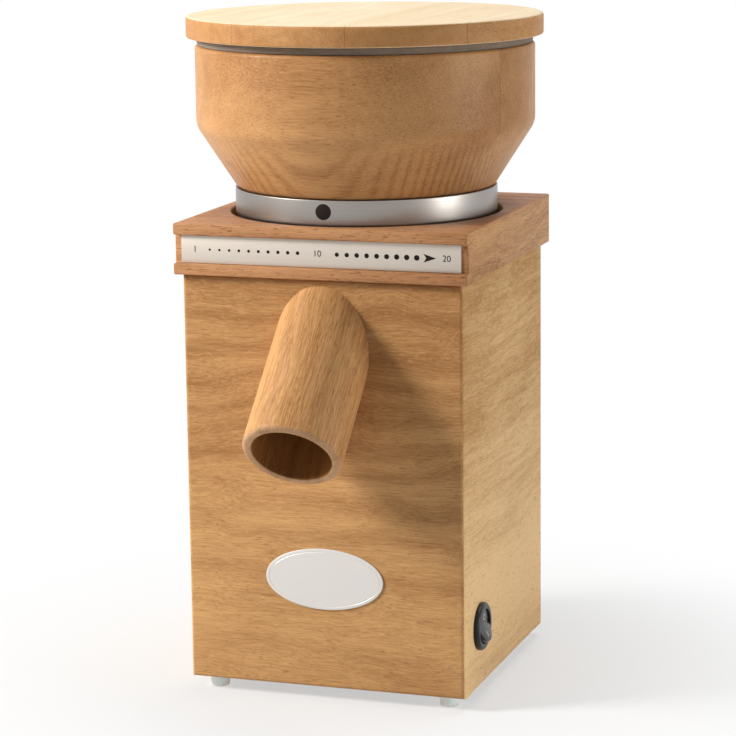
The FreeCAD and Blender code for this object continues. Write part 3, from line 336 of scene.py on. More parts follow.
plasticLook = {
    "pebble": (2.4, 2.4, 2.4), "pebbleRough": 0.08, "haze": (0.05, 0.05, 0.05), "hazeShade": 0.8,
    "depth": 0.1 * mm,
}


# Moulded plastic or rubber with a fine even grain
def moulded(name, base, rough, bump=0.05, sheen=0.5, extra=None):
    look = plasticLook
    finish = newFinish(name)
    parts = finish.split(finish.millimetres())
    pebble = finish.noise(finish.stretched(parts, look["pebble"]), 3.0)
    haze = finish.noise(finish.stretched(parts, look["haze"]))
    darker = (*[value * look["hazeShade"] for value in base[:3]], 1.0)
    values = {
        "Base Color": finish.mix(haze, base, darker),
        "Roughness": pebble * look["pebbleRough"] + rough,
        "Specular IOR Level": sheen,
        **(extra or {}),
    }
    return finish.surface(values, pebble, bump, look["depth"])


blacks = {
    "bezel": moulded("bezelPlastic", colour(20, 20, 21), 0.3, sheen=0.3),
    "rocker": moulded("rockerPlastic", colour(15, 15, 16), 0.2, 0.02, sheen=0.3),
    "marker": moulded("markerBlack", colour(38, 29, 26), 0.5, 0.02, sheen=0.12),
    "ink": moulded("scaleInk", colour(36, 31, 29), 0.6, 0.02, sheen=0.06),
    "rubber": moulded("blackRubber", colour(30, 30, 30), 0.6),
}

# A painted glow: the feet give off a little white light of their own, which brightens them in the shade under
# the body and stands for the light that their clear plastic passes on
footPaintedGlow = {"Subsurface Weight": 0.5, "Emission Color": (1.0, 0.99, 0.96, 1.0), "Emission Strength": 0.14}
feltLook = {
    "light": colour(146, 130, 114), "dark": colour(90, 76, 64), "hair": (0.9, 0.9, 2.6), "hairShade": 0.7,
    "tuft": (0.15, 0.15, 0.4), "tuftShade": 0.5, "shadeFrom": 0.1, "rough": 0.95, "sheen": 0.3,
    "bump": 0.6, "depth": 0.4 * mm,
}
stoneLook = {
    "light": colour(222, 218, 208), "dark": colour(170, 164, 152), "rough": 0.85,
    "bump": 0.6, "depth": 0.4 * mm,
}


def felt(name, look):
    finish = newFinish(name)
    parts = finish.split(finish.millimetres())
    hair = finish.noise(finish.stretched(parts, look["hair"]), 4.0, 0.75)
    tuft = finish.noise(finish.stretched(parts, look["tuft"]))
    darkness = hair * look["hairShade"] + tuft * look["tuftShade"] - look["shadeFrom"]
    shade = finish.mix(darkness, look["light"], look["dark"])
    values = {"Base Color": shade, "Roughness": look["rough"], "Sheen Weight": look["sheen"]}
    return finish.surface(values, hair, look["bump"], look["depth"])


def stone(name, look):
    finish = newFinish(name)
    grit = finish.noise(finish.millimetres(), 5.0, 0.8)
    shade = finish.mix(grit, look["light"], look["dark"])
    values = {"Base Color": shade, "Roughness": look["rough"]}
    return finish.surface(values, grit, look["bump"], look["depth"])


pales = {
    # the foot plastic carries the painted glow
    "foot": moulded("footPlastic", colour(250, 249, 245), 0.35, 0.03, extra=footPaintedGlow),
    "grey": moulded("greyPlastic", colour(210, 210, 204), 0.5),
    "mark": moulded("rockerMark", colour(210, 210, 206), 0.5, 0.02),
    "felt": felt("paleFelt", feltLook),
    "stone": stone("millstone", stoneLook),
}
print("metals, plastics, felt and stone mixed")


def nodeBox(name):
    # a CAD node's lowest and highest corners, measured from the turning axis
    low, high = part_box(name)
    return low - axisFoot, high - axisFoot


def nodeMiddle(name):
    low, high = nodeBox(name)
    return (low + high) / 2


def deselect():
    if bpy.context.object and bpy.context.object.mode != "OBJECT":
        bpy.ops.object.mode_set(mode="OBJECT")
    bpy.ops.object.select_all(action="DESELECT")


def activate(piece):
    deselect()
    piece.select_set(True)
    bpy.context.view_layer.objects.active = piece


def settle(piece):
    # leaves the object at the origin with its place in its mesh
    activate(piece)
    bpy.ops.object.transform_apply(location=True, rotation=True, scale=True)


def place(piece, location=(0.0, 0.0, 0.0), rotation=(0.0, 0.0, 0.0)):
    piece.location = location
    piece.rotation_euler = rotation
    settle(piece)


def bevel(piece, width, segments=3, angle=30.0):
    activate(piece)
    modifier = piece.modifiers.new("edges", "BEVEL")
    modifier.width = width
    modifier.segments = segments
    modifier.limit_method = "ANGLE"
    modifier.angle_limit = math.radians(angle)
    bpy.ops.object.modifier_apply(modifier=modifier.name)


def carve(piece, cutter, operation="DIFFERENCE"):
    activate(piece)
    modifier = piece.modifiers.new("cut", "BOOLEAN")
    modifier.operation = operation
    modifier.solver = "EXACT"
    modifier.object = cutter
    bpy.ops.object.modifier_apply(modifier=modifier.name)
    bpy.data.objects.remove(cutter, do_unlink=True)


facing = 0.72        # a face counts as facing a direction from this share of its normal on


def facesSideways(face):
    return abs(face.normal.x) > facing


def facesOutwards(face):
    return abs(face.normal.z) < facing


def complete(piece, name, finish, body, replaced=(), smooth=35.0, others=()):
    # others lists further finishes, each with a test that picks its faces
    place(piece, axisFoot)
    piece.name = name
    piece.data.name = name
    bpy.ops.object.shade_smooth_by_angle(angle=math.radians(smooth))
    piece.data.materials.clear()
    piece.data.materials.append(finish)
    for index, (other, test) in enumerate(others, 1):
        piece.data.materials.append(other)
        for face in piece.data.polygons:
            if test(face):
                face.material_index = index
    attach(piece, body)
    if replaced:
        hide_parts(*replaced)
    return piece


def roundOff(outline, radii, steps=6):
    # an outline of (radius, level) points with an arc at each corner that has a radius
    result = []
    for index, corner in enumerate(outline):
        here = Vector(corner)
        if index not in radii:
            result.append(tuple(here))
            continue
        before = (Vector(outline[index - 1]) - here).normalized()
        after = (Vector(outline[(index + 1) % len(outline)]) - here).normalized()
        half = before.angle(after) / 2
        centre = here + (before + after).normalized() * (radii[index] / math.sin(half))
        reach = radii[index] / math.tan(half)
        start = (here + before * reach - centre).normalized()
        end = (here + after * reach - centre).normalized()
        for step in range(steps + 1):
            result.append(tuple(centre + start.slerp(end, step / steps) * radii[index]))
    return result


def turned(outline, segments=144, closed=True):
    # a circle extruded ring by ring along an outline; a closed outline comes back to its start
    radius, level = outline[0]
    deselect()
    bpy.ops.mesh.primitive_circle_add(vertices=segments, radius=radius, location=(0.0, 0.0, level))
    piece = bpy.context.object
    bpy.ops.object.mode_set(mode="EDIT")
    bpy.ops.mesh.select_all(action="SELECT")
    if not closed:
        bpy.ops.mesh.edge_face_add()
    for nextRadius, nextLevel in outline[1:] + outline[:1] * closed:
        bpy.ops.mesh.extrude_region_move(TRANSFORM_OT_translate={"value": (0.0, 0.0, nextLevel - level)})
        share = nextRadius / radius
        bpy.ops.transform.resize(value=(share, share, 1.0), center_override=(0.0, 0.0, nextLevel))
        radius, level = nextRadius, nextLevel
    bpy.ops.mesh.select_all(action="SELECT")
    bpy.ops.mesh.remove_doubles(threshold=0.002 * mm)
    bpy.ops.mesh.normals_make_consistent(inside=False)
    bpy.ops.object.mode_set(mode="OBJECT")
    settle(piece)
    return piece


def block(low, high):
    deselect()
    size = [b - a for a, b in zip(low, high)]
    middle = [(a + b) / 2 for a, b in zip(low, high)]
    bpy.ops.mesh.primitive_cube_add(size=1.0, location=middle, scale=size)
    settle(bpy.context.object)
    return bpy.context.object


def rod(radius, depth, centre, rotation=(0.0, 0.0, 0.0), vertices=144):
    deselect()
    bpy.ops.mesh.primitive_cylinder_add(
        vertices=vertices, radius=radius, depth=depth, location=centre, rotation=rotation
    )
    settle(bpy.context.object)
    return bpy.context.object


def joined(pieces):
    deselect()
    for piece in pieces:
        piece.select_set(True)
    bpy.context.view_layer.objects.active = pieces[0]
    bpy.ops.object.join()
    return bpy.context.object


def roundEdges(piece, width, segments, test):
    # rounds the edges whose two ends pass the test
    activate(piece)
    bpy.ops.object.mode_set(mode="EDIT")
    bpy.ops.mesh.select_all(action="DESELECT")
    bpy.ops.object.mode_set(mode="OBJECT")
    for edge in piece.data.edges:
        start, end = (piece.data.vertices[index].co for index in edge.vertices)
        edge.select = test(start, end)
    bpy.ops.object.mode_set(mode="EDIT")
    bpy.ops.mesh.select_mode(type="EDGE")
    bpy.ops.mesh.bevel(offset=width, segments=segments)
    bpy.ops.object.mode_set(mode="OBJECT")


# Lid and its seal
lidShape = {"plugDrop": 14.5 * mm, "topRound": 1.8 * mm, "underRound": 1.0 * mm, "hub": 1.0 * mm}
sealShape = {"round": 1.3 * mm}


def makeLid():
    low, high = nodeBox("lid")
    shape = lidShape
    under = nodeBox("lid_seal")[1].z
    plug = high.x - shape["plugDrop"]
    outline = [
        (shape["hub"], low.z),
        (plug, low.z),
        (plug, under),
        (high.x, under),
        (high.x, high.z),
        (shape["hub"], high.z),
    ]
    rounding = {1: shape["underRound"], 3: shape["underRound"], 4: shape["topRound"]}
    piece = turned(roundOff(outline, rounding), 180, closed=False)
    # the rim's faces get the darker copy of the lid beech; the paler top faces carry painted light
    rim = ((woods["lidRim"], facesOutwards),)
    complete(piece, "lid_turned", woods["lid"], "lid_assembly", ("lid",), others=rim)

    low, high = nodeBox("lid_seal")
    outline = [(plug, low.z), (high.x, low.z), (high.x, high.z), (plug, high.z)]
    piece = turned(roundOff(outline, {1: sealShape["round"], 2: sealShape["round"]}))
    complete(piece, "lid_seal_felt", pales["felt"], "lid_assembly", ("lid_seal",))
    print("lid and seal made")


# Hopper, its ring and the marker
hopperShape = {
    "baseRadius": 69.0 * mm, "knuckleLevel": 33.3 * mm, "wall": 9.0 * mm, "tubeRadius": 16.0 * mm,
    "funnelFoot": 6.0 * mm, "funnelRise": 29.16 * mm, "baseRound": 5.0 * mm, "knuckleRound": 12.0 * mm,
    "rimRound": 1.8 * mm, "bowlRound": 14.0 * mm,
}
ringShape = {
    "webBore": 28.0 * mm, "web": 4.0 * mm, "band": 15.2 * mm, "skirt": 4.3 * mm, "skirtDepth": 4.0 * mm,
    "collar": 57.02 * mm, "collarWall": 3.6 * mm, "edgeRound": 2.8 * mm, "topRound": 0.4 * mm,
}
markerShape = {"edge": 0.35 * mm}


def makeHopper():
    low, high = nodeBox("hopper")
    shape = hopperShape
    bowl = high.x - shape["wall"]
    foot = low.z + shape["funnelFoot"]
    outline = [
        (shape["tubeRadius"], low.z),
        (shape["baseRadius"], low.z),
        (high.x, low.z + shape["knuckleLevel"]),
        (high.x, high.z),
        (bowl, high.z),
        (bowl, foot + shape["funnelRise"]),
        (shape["tubeRadius"], foot),
    ]
    rounding = {
        1: shape["baseRound"],
        2: shape["knuckleRound"],
        3: shape["rimRound"],
        4: shape["rimRound"],
        5: shape["bowlRound"],
    }
    piece = turned(roundOff(outline, rounding), 180)
    complete(piece, "hopper_turned", woods["hopper"], "hopper_assembly", ("hopper",))
    print("hopper made")


def makeRing():
    low, high = nodeBox("hopper_ring")
    shape = ringShape
    bandFoot = high.z - shape["band"]
    skirtTop = bandFoot + shape["skirtDepth"]
    webFoot = high.z - shape["web"]
    collarBore = shape["collar"] - shape["collarWall"]
    outline = [
        (shape["webBore"], high.z),
        (high.x, high.z),
        (high.x, bandFoot),
        (high.x - shape["skirt"], bandFoot),
        (high.x - shape["skirt"], skirtTop),
        (shape["collar"], skirtTop),
        (shape["collar"], low.z),
        (collarBore, low.z),
        (collarBore, webFoot),
        (shape["webBore"], webFoot),
    ]
    piece = turned(roundOff(outline, {1: shape["topRound"], 2: shape["edgeRound"]}), 180)
    complete(piece, "hopper_ring_turned", metals["ring"], "hopper_assembly", ("hopper_ring",))

    low, high = nodeBox("marker_dot")
    piece = rod((high.x - low.x) / 2, high.y - low.y, nodeMiddle("marker_dot"), (quarter, 0.0, 0.0), 64)
    bevel(piece, markerShape["edge"])
    complete(piece, "marker_disc", blacks["marker"], "hopper_assembly", ("marker_dot",))
    print("ring and marker made")


# Head block with its recess and groove
headShape = {
    "recess": 73.0 * mm, "recessDepth": 9.5 * mm, "bore": 63.2 * mm, "edge": 0.8 * mm, "edgeAngle": 50.0,
    "grooveDepth": 3.2 * mm, "grooveHeight": 15.0 * mm, "grooveLift": 6.0 * mm, "cutterMargin": 5.0 * mm,
}


def makeHead():
    low, high = nodeBox("head_block")
    shape = headShape
    margin = shape["cutterMargin"]
    piece = block(low, high)
    carve(piece, rod(shape["recess"], 2 * shape["recessDepth"], (0.0, 0.0, high.z)))
    carve(piece, rod(shape["bore"], high.z - low.z + margin, (0.0, 0.0, (low.z + high.z) / 2)))
    foot = low.z + shape["grooveLift"]
    grooveLow = (low.x - margin, low.y - margin, foot)
    grooveHigh = (high.x + margin, low.y + shape["grooveDepth"], foot + shape["grooveHeight"])
    carve(piece, block(grooveLow, grooveHigh))
    bevel(piece, shape["edge"], 3, shape["edgeAngle"])
    sides = ((woods["headSide"], facesSideways),)
    complete(piece, "head_board", woods["head"], "housing", ("head_block",), others=sides)
    print("head made")


# Scale strip with its dots, arrow and numbers
scaleShape = {
    "stripEdge": 0.18 * mm, "thick": 0.05 * mm, "least": 0.6 * mm, "most": 1.45 * mm,
    "smallFrom": -60.3 * mm, "smallTo": -11.7 * mm, "smallCount": 10,
    "largeFrom": 9.7 * mm, "largeTo": 52.7 * mm, "largeCount": 9,
    "arrowX": 58.6 * mm, "arrowSize": (6.6 * mm, 4.4 * mm), "notch": 1.4 * mm,
    "numbers": (("1", -68.5 * mm), ("10", -1.0 * mm), ("20", 68.6 * mm)), "numberSize": 4.6 * mm,
}


def arrowHead(size, thick):
    # a three-sided plate that points along X
    piece = rod(1.0 * mm, thick, (0.0, 0.0, 0.0), (quarter, 0.0, 0.0), 3)
    place(piece, rotation=(0.0, quarter, 0.0))
    piece.scale = (size[0] / piece.dimensions.x, 1.0, size[1] / piece.dimensions.z)
    settle(piece)
    return piece


def scaleArrow():
    # an arrow head with a notch cut in its back
    shape = scaleShape
    length, width = shape["arrowSize"]
    arrow = arrowHead(shape["arrowSize"], shape["thick"])
    notch = arrowHead((shape["notch"], width), 3 * shape["thick"])
    place(notch, ((shape["notch"] - length) / 3 - shape["thick"], 0.0, 0.0))
    carve(arrow, notch)
    return arrow


def scaleNumber(text):
    deselect()
    bpy.ops.object.text_add(location=(0.0, 0.0, 0.0))
    number = bpy.context.object
    number.data.body = text
    number.data.size = scaleShape["numberSize"]
    number.data.align_x = "CENTER"
    number.data.align_y = "CENTER"
    number.data.extrude = scaleShape["thick"] / 2
    bpy.ops.object.convert(target="MESH")
    return number


def makeScale():
    low, high = nodeBox("scale_plate")
    shape = scaleShape
    piece = block(low, high)
    bevel(piece, shape["stripEdge"], 2)
    complete(piece, "scale_strip", metals["plate"], "housing", ("scale_plate",))
    middle = (low.z + high.z) / 2
    front = low.y - shape["thick"] / 2
    places = []
    for size in ("small", "large"):
        start, end, count = (shape[size + part] for part in ("From", "To", "Count"))
        places += [start + (end - start) * index / (count - 1) for index in range(count)]
    span = places[-1] - places[0]
    marks = []
    for x in places:
        radius = shape["least"] + (shape["most"] - shape["least"]) * (x - places[0]) / span
        marks.append(rod(radius, shape["thick"], (x, front, middle), (quarter, 0.0, 0.0), 24))
    arrow = scaleArrow()
    place(arrow, (shape["arrowX"], front, middle))
    marks.append(arrow)
    for text, x in shape["numbers"]:
        number = scaleNumber(text)
        place(number, (x, front, middle), (quarter, 0.0, 0.0))
        marks.append(number)
    complete(joined(marks), "scale_marks", blacks["ink"], "housing", smooth=20.0)
    print("scale strip made")


# Case panels, and the line of the spout that goes through the front one
caseShape = {
    "cornerRound": 2.2 * mm, "edge": 0.5 * mm, "upright": 10.0 * mm, "panelHalf": 7.5 * mm,
    "spoutCutter": 300.0 * mm, "spoutCutterShift": 120.0 * mm, "holeCutter": 60.0 * mm,
    "glandHole": 7.0 * mm, "switchHole": 10.1 * mm,
}
spoutShape = {
    "radius": 26.0 * mm, "reach": 47.4 * mm, "topMargin": 3.13 * mm, "bore": 21.0 * mm, "blank": 190.0 * mm,
    "edgeRound": 2.4 * mm, "mouthRound": 1.0 * mm, "headGap": 0.02 * mm,
    "mouthFacing": 0.6, "mouthDepth": 10.0 * mm, "boreReach": 10.0 * mm,
}
spoutTurn = (math.radians(spoutTilt) - quarter, 0.0, 0.0)


def spoutLine():
    # the middle of the spout's mouth and the direction inwards along it
    tilt = math.radians(spoutTilt)
    low, high = nodeBox("front_panel")
    entry = high.z - spoutShape["topMargin"] - spoutShape["radius"] / math.cos(tilt)
    reach = spoutShape["reach"]
    end = Vector((0.0, low.y - reach, entry - reach * math.tan(tilt)))
    return end, Vector((0.0, math.cos(tilt), math.sin(tilt)))


def makePanel(name):
    low, high = nodeBox(name)
    shape = caseShape
    piece = block(low, high)
    isSide = name in ("left_panel", "right_panel")
    thin = 0 if isSide else 1        # the axis across the panel
    outer = max(abs(low[thin]), abs(high[thin]))

    def isCorner(start, end):
        upright = abs(start.z - end.z) > shape["upright"]
        return upright and min(abs(start.y), abs(end.y)) > outer - samePlace

    def isFoot(start, end):
        atFoot = max(start.z, end.z) < low.z + samePlace
        return atFoot and abs(start[thin] + end[thin]) / 2 > outer - shape["cornerRound"]

    if not isSide:
        roundEdges(piece, shape["cornerRound"], 5, isCorner)
    roundEdges(piece, shape["edge"], 2, isFoot)
    if name == "front_panel":
        end, axis = spoutLine()
        hole = end + axis * shape["spoutCutterShift"]
        carve(piece, rod(spoutShape["radius"], shape["spoutCutter"], hole, spoutTurn))
    if name == "back_panel":
        nut = nodeMiddle("cable_gland")
        hole = (nut.x, high.y - shape["panelHalf"], nut.z)
        carve(piece, rod(shape["glandHole"], shape["holeCutter"], hole, (quarter, 0.0, 0.0), 48))
    if name == "right_panel":
        switch = nodeMiddle("switch_housing")
        hole = (high.x - shape["panelHalf"], switch.y, switch.z)
        carve(piece, rod(shape["switchHole"], shape["holeCutter"], hole, (0.0, quarter, 0.0), 48))
    outside = woods["side"] if isSide else woods["front"]
    sides = ((woods["side"], facesSideways),)
    complete(piece, name.replace("panel", "board"), outside, "housing", (name,), others=sides)


def makeCase():
    for name in ("front_panel", "back_panel", "left_panel", "right_panel"):
        makePanel(name)
    print("case made")


# Spout: turned upright, laid over to its tilt and trimmed behind the panel and under the head
def makeSpout():
    shape = spoutShape
    outer = shape["radius"]
    outline = [(shape["bore"], 0.0), (outer, 0.0), (outer, shape["blank"]), (shape["bore"], shape["blank"])]
    piece = turned(roundOff(outline, {0: shape["mouthRound"], 1: shape["edgeRound"]}))
    end, axis = spoutLine()
    place(piece, end, spoutTurn)
    inner = nodeBox("front_panel")[1]
    behind = ((0.0, inner.y, 0.0), (0.0, 1.0, 0.0))
    above = ((0.0, 0.0, inner.z - shape["headGap"]), (0.0, 0.0, 1.0))
    for point, normal in (behind, above):
        activate(piece)
        bpy.ops.object.mode_set(mode="EDIT")
        bpy.ops.mesh.select_all(action="SELECT")
        bpy.ops.mesh.bisect(plane_co=point, plane_no=normal, clear_outer=True, use_fill=True)
        bpy.ops.object.mode_set(mode="OBJECT")

    def fromMouth(face):
        return face.center - axisFoot - end

    def isMouth(face):
        facesOut = face.normal.dot(axis) < -shape["mouthFacing"]
        return facesOut and fromMouth(face).dot(axis) < shape["mouthDepth"]

    def isBore(face):
        reach = fromMouth(face)
        fromAxis = reach - axis * reach.dot(axis)
        return not isMouth(face) and face.normal.dot(fromAxis) < -shape["boreReach"]

    # the bore's faces take the painted shade, the mouth's faces the paler end grain
    others = ((woods["bore"], isBore), (woods["mouth"], isMouth))
    complete(piece, "spout_turned", woods["spout"], "housing", ("spout",), others=others)
    print("spout made")


# Badge: an oval plate with a fine line engraved inside its border
badgeShape = {"border": 1.5 * mm, "line": 0.5 * mm, "depth": 0.25 * mm, "edge": 0.2 * mm, "edgeAngle": 60.0}


def makeBadge():
    low, high = nodeBox("oval_badge")
    middle = nodeMiddle("oval_badge")
    shape = badgeShape
    deselect()
    bpy.ops.mesh.primitive_circle_add(vertices=128, radius=(high.x - low.x) / 2, fill_type="NGON")
    piece = bpy.context.object
    bpy.ops.object.mode_set(mode="EDIT")
    bpy.ops.mesh.select_all(action="SELECT")
    bpy.ops.transform.resize(value=(1.0, (high.z - low.z) / (high.x - low.x), 1.0))
    bpy.ops.mesh.extrude_region_move(TRANSFORM_OT_translate={"value": (0.0, 0.0, high.y - low.y)})
    bpy.ops.mesh.inset(thickness=shape["border"])
    bpy.ops.mesh.inset(thickness=shape["line"] / 2, depth=-shape["depth"])
    bpy.ops.mesh.inset(thickness=shape["line"] / 2, depth=shape["depth"])
    bpy.ops.mesh.select_all(action="SELECT")
    bpy.ops.mesh.normals_make_consistent(inside=False)
    bpy.ops.object.mode_set(mode="OBJECT")
    bevel(piece, shape["edge"], 3, shape["edgeAngle"])
    place(piece, (middle.x, high.y, middle.z), (quarter, 0.0, 0.0))
    complete(piece, "badge_plate", metals["badge"], "housing", ("oval_badge",))
    print("badge made")


# Switch: a round bezel with a well and two contact blades, and a rocker with a shallow V face
switchShape = {
    "bezel": 12.75 * mm, "proud": 3.0 * mm, "round": 1.6 * mm, "body": 10.1 * mm, "well": 9.35 * mm,
    "length": 24.0 * mm, "floor": 2.0 * mm, "wellRound": 0.4 * mm, "hub": 0.5 * mm,
    "bladeHalfWidth": 2.4 * mm, "bladeHalfThick": 0.4 * mm, "bladeRoot": 0.5 * mm,
}
rockerShape = {
    "radius": 9.2 * mm, "half": 9.35 * mm, "tilt": 12.0, "crest": 2.2 * mm, "root": 4.0 * mm,
    "edge": 0.45 * mm, "edgeAngle": 35.0,
}
rockerMarks = {
    "halfThick": 0.05 * mm, "lineHalfWidth": 0.35 * mm, "lineHalfHeight": 1.6 * mm,
    "ringInner": 1.15 * mm, "ringOuter": 1.65 * mm, "reach": 4.6 * mm,
}


def switchCentre():
    # on the panel's face, in the middle of the bezel
    middle = nodeMiddle("switch_housing")
    face = nodeBox("switch_housing")[1].x - switchShape["proud"]
    return Vector((face, middle.y, middle.z))


def makeBezel():
    shape = switchShape
    centre = switchCentre()
    floor = shape["floor"] - shape["length"]
    outline = [
        (shape["well"], floor),
        (shape["well"], shape["proud"]),
        (shape["bezel"], shape["proud"]),
        (shape["bezel"], 0.0),
        (shape["body"], 0.0),
        (shape["body"], -shape["length"]),
        (shape["hub"], -shape["length"]),
        (shape["hub"], floor),
    ]
    parts = [turned(roundOff(outline, {1: shape["wellRound"], 2: shape["round"]}), 96)]
    place(parts[0], centre, (0.0, quarter, 0.0))
    back = nodeBox("switch_housing")[0].x
    wide, thick = shape["bladeHalfWidth"], shape["bladeHalfThick"]
    for side in (-0.5, 0.5):
        y = centre.y + side * shape["body"]
        root = centre.x - shape["length"] + shape["bladeRoot"]
        parts.append(block((back, y - wide, centre.z - thick), (root, y + wide, centre.z + thick)))
    piece = joined(parts)
    complete(piece, "switch_bezel", blacks["bezel"], "housing", ("switch_housing",))
    print("switch bezel made")


def makeRocker():
    shape = rockerShape
    half = shape["half"]
    tilt = math.radians(shape["tilt"])
    rise = half * math.tan(tilt)
    tipped = (0.0, -tilt, 0.0)
    deselect()
    bpy.ops.mesh.primitive_cube_add(size=1.0)
    piece = bpy.context.object
    bpy.ops.object.mode_set(mode="EDIT")
    bpy.ops.mesh.select_all(action="SELECT")
    bpy.ops.transform.resize(value=(shape["root"] + shape["crest"] + rise, 2 * half, 2 * half))
    bpy.ops.transform.translate(value=((shape["crest"] + rise - shape["root"]) / 2, 0.0, 0.0))
    bpy.ops.mesh.bisect(plane_co=(0.0, 0.0, 0.0), plane_no=(0.0, 0.0, 1.0))
    bpy.ops.mesh.select_all(action="DESELECT")
    bpy.ops.object.mode_set(mode="OBJECT")
    for vertex in piece.data.vertices:
        vertex.select = abs(vertex.co.z) < samePlace and vertex.co.x > 0
    bpy.ops.object.mode_set(mode="EDIT")
    bpy.ops.mesh.select_mode(type="VERT")
    bpy.ops.transform.translate(value=(-rise, 0.0, 0.0))
    bpy.ops.object.mode_set(mode="OBJECT")
    deselect()
    bpy.ops.mesh.primitive_uv_sphere_add(
        segments=96, ring_count=64, radius=shape["radius"], rotation=(0.0, quarter, 0.0)
    )
    ball = bpy.context.object
    settle(ball)
    carve(piece, ball, "INTERSECT")
    bevel(piece, shape["edge"], 3, shape["edgeAngle"])
    place(piece, switchCentre(), tipped)
    complete(
        piece, "rocker_button", blacks["rocker"], "switch_button", ("switch_rocker",),
        smooth=40.0,
    )

    # a line for on and a ring for off, one on each half of the rocker's face
    marks = rockerMarks
    thick, wide, tall = marks["halfThick"], marks["lineHalfWidth"], marks["lineHalfHeight"]
    inner, outer = marks["ringInner"], marks["ringOuter"]
    line = block((-thick, -wide, -tall), (thick, wide, tall))
    ring = turned([(inner, -thick), (outer, -thick), (outer, thick), (inner, thick)], 40)
    place(ring, rotation=(0.0, quarter, 0.0))
    depth = shape["crest"] + rise * marks["reach"] / half
    for mark, side in ((line, -1.0), (ring, 1.0)):
        place(mark, rotation=(0.0, side * tilt, 0.0))
        place(mark, (depth, 0.0, side * marks["reach"]))
    piece = joined([line, ring])
    place(piece, switchCentre(), tipped)
    complete(piece, "rocker_marks", pales["mark"], "switch_button")
    print("rocker made")


# Feet and cable gland
footShape = {
    "top": 5.6 * mm, "bottom": 5.0 * mm, "edge": 0.8 * mm, "well": 3.4 * mm, "wellDepth": 1.2 * mm,
    "screwHole": 1.8 * mm, "lip": 0.15 * mm,
}
glandShape = {
    "thread": 7.0 * mm, "head": 10.0 * mm, "bore": 3.8 * mm, "collarShare": 0.42, "step": 0.5 * mm,
    "stepRadius": 9.3 * mm, "endRadius": 8.8 * mm, "backRound": 0.4 * mm, "collarRound": 0.5 * mm,
    "endRound": 2.0 * mm, "boreRound": 0.6 * mm,
}


def makeFeet():
    shape = footShape
    for name in ("foot_front_left", "foot_rear_left", "foot_front_right", "foot_rear_right"):
        top = nodeBox(name)[1].z
        middle = nodeMiddle(name)
        outline = [
            (shape["well"], 0.0),
            (shape["bottom"], 0.0),
            (shape["top"], top),
            (shape["screwHole"], top),
            (shape["screwHole"], shape["wellDepth"]),
            (shape["well"], shape["wellDepth"]),
        ]
        piece = turned(roundOff(outline, {0: shape["lip"], 1: shape["edge"], 2: shape["lip"]}), 64)
        place(piece, (middle.x, middle.y, 0.0))
        complete(piece, name.replace("foot", "foot_cap"), pales["foot"], "housing", (name,))
    print("feet made")


def makeGland():
    low, high = nodeBox("cable_gland")
    middle = nodeMiddle("cable_gland")
    shape = glandShape
    wall = nodeBox("back_panel")[1].y
    length = high.y - wall
    tail = wall - low.y
    collar = length * shape["collarShare"]
    outline = [
        (shape["bore"], -tail),
        (shape["thread"], -tail),
        (shape["thread"], 0.0),
        (shape["head"], 0.0),
        (shape["head"], collar),
        (shape["stepRadius"], collar + shape["step"]),
        (shape["endRadius"], length),
        (shape["bore"], length),
    ]
    rounding = {3: shape["backRound"], 4: shape["collarRound"], 6: shape["endRound"], 7: shape["boreRound"]}
    piece = turned(roundOff(outline, rounding), 72)
    place(piece, (middle.x, wall, middle.z), (-quarter, 0.0, 0.0))
    complete(piece, "gland_bush", blacks["bezel"], "housing", ("cable_gland",))
    print("gland made")


# Finishes of the CAD nodes that keep their own shape
nodeFinish = {
    "ply": ("base_board", "base_cleats", "head_dowels"),
    "shaft": (
        "base_screws", "foot_screws", "chamber_screws", "thread_ring_screws", "hopper_ring_screws",
        "guide_pins", "carrier_springs", "upper_bearing", "lower_bearing", "motor_bolts", "capacitor_clip",
        "motor_shaft", "stone_washer", "stone_nut", "finger_guard", "feed_tube",
    ),
    "ring": ("thread_ring",),
    "cast": (
        "milling_chamber", "upper_end_shield", "lower_end_shield", "lower_stone_carrier",
        "upper_stone_carrier",
    ),
    "dark": ("stator_core", "rotor_core"),
    "copper": ("stator_winding",),
    "felt": ("dust_seal",),
    "rubber": ("shaft_seal", "inner_leads"),
    "bezel": ("gland_nut", "cooling_fan"),
    "grey": ("motor_capacitor", "terminal_block"),
    "stone": ("lower_millstone", "upper_millstone"),
}


def dressNodes():
    finishes = {**woods, **metals, **blacks, **pales}
    for finish, names in nodeFinish.items():
        for name in names:
            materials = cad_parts[name].data.materials
            materials.clear()
            materials.append(finishes[finish])
    print("CAD nodes dressed")


# Floor, lamps, world and camera; places are measured from the turning axis
stageShape = {
    "floorRadius": 6.0, "colour": (0.74, 0.74, 0.74, 1.0), "nearGlow": 0.55, "fadeRadius": 0.08,
    "clearRadius": 0.32,
}
lampAim = Vector((0.0, 0.0, 0.17))
lampSet = (
    {"name": "keyLamp", "place": (-1.78, -1.0, 1.3), "size": 0.7, "power": 73.0, "tint": (1.0, 0.98, 0.95)},
    {"name": "fillLamp", "place": (2.2, 0.05, 0.4), "size": 1.0, "power": 20.0, "tint": (1.0, 0.99, 0.97)},
    {"name": "topLamp", "place": (0.2, 0.4, 2.0), "size": 1.2, "power": 18.0, "tint": (1.0, 1.0, 1.0)},
)
worldGlow = 0.04        # how strongly the white world lights the object
cameraShape = {
    "place": (484.149 * mm, -1429.505 * mm, 459.337 * mm),
    "right": (0.94773344, 0.31884271, -0.01185976),
    "up": (-0.04996061, 0.18501061, 0.98146575),
    "forward": (-0.31512738, 0.92957539, -0.19127032),
    "lens": 138.2488,
    "sensor": 36.0,
    "farthest": 30.0,
}
white = (1.0, 1.0, 1.0, 1.0)


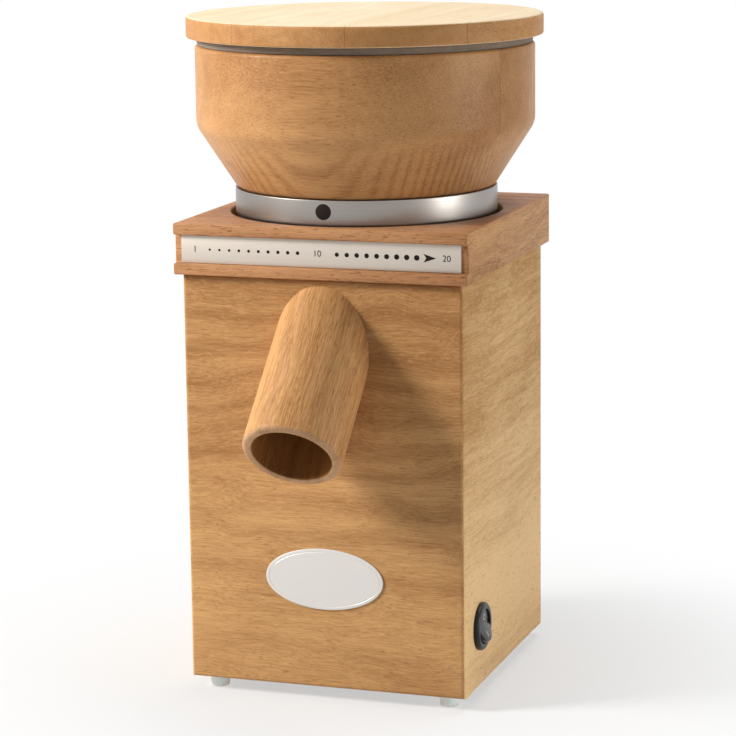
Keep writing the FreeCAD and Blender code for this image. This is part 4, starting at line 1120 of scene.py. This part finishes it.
def makeStage():
    shape = stageShape
    deselect()
    bpy.ops.mesh.primitive_circle_add(vertices=96, radius=shape["floorRadius"], fill_type="NGON")
    floor = bpy.context.object
    floor.name = "floor"
    finish = newFinish("paleFloor")
    x, y = finish.split(finish.node("TexCoord", out=3))[:2]
    y = y - axisY
    away = finish.smooth((x * x + y * y) ** 0.5, shape["fadeRadius"], shape["clearRadius"])
    plain = finish.node("BsdfDiffuse", None, {"Color": shape["colour"]})
    glow = finish.node("Emission", None, {"Color": white, "Strength": 1.0})
    share = (away * (1.0 - shape["nearGlow"]) + shape["nearGlow"]) * finish.seenFrom()
    both = finish.node("MixShader", None, {0: share, 1: plain, 2: glow})
    finish.node("OutputMaterial", None, {"Surface": both})
    floor.data.materials.append(finish.owner)


def makeLamps():
    for lamp in lampSet:
        data = bpy.data.lights.new(lamp["name"], "AREA")
        data.shape = "DISK"
        data.size = lamp["size"]
        data.energy = lamp["power"]
        data.color = lamp["tint"]
        holder = bpy.data.objects.new(lamp["name"], data)
        bpy.context.scene.collection.objects.link(holder)
        holder.location = axisFoot + Vector(lamp["place"])
        holder.rotation_euler = (lampAim - Vector(lamp["place"])).to_track_quat("-Z", "Y").to_euler()


def makeWorld():
    world = bpy.data.worlds.new("studio")
    bpy.context.scene.world = world
    studio = Finish(world)
    strength = worldGlow + studio.seenFrom() * (1.0 - worldGlow)
    background = studio.node("Background", None, {"Color": white, "Strength": strength})
    studio.node("OutputWorld", None, {"Surface": background})


def makeCamera():
    data = bpy.data.cameras.new("camera")
    data.lens = cameraShape["lens"]
    data.sensor_width = cameraShape["sensor"]
    data.clip_end = cameraShape["farthest"]
    camera = bpy.data.objects.new("camera", data)
    bpy.context.scene.collection.objects.link(camera)
    right, up, forward = (Vector(cameraShape[key]) for key in ("right", "up", "forward"))
    turn = Matrix((right, up, -forward)).transposed().to_4x4()
    camera.matrix_world = Matrix.Translation(axisFoot + Vector(cameraShape["place"])) @ turn
    bpy.context.scene.camera = camera


makeLid()
makeHopper()
makeRing()
makeHead()
makeScale()
makeCase()
makeSpout()
makeBadge()
makeBezel()
makeRocker()
makeFeet()
makeGland()
dressNodes()
makeStage()
makeLamps()
makeWorld()
makeCamera()
bpy.context.scene.view_settings.view_transform = "Standard"
print("floor, lamps, world and camera set")
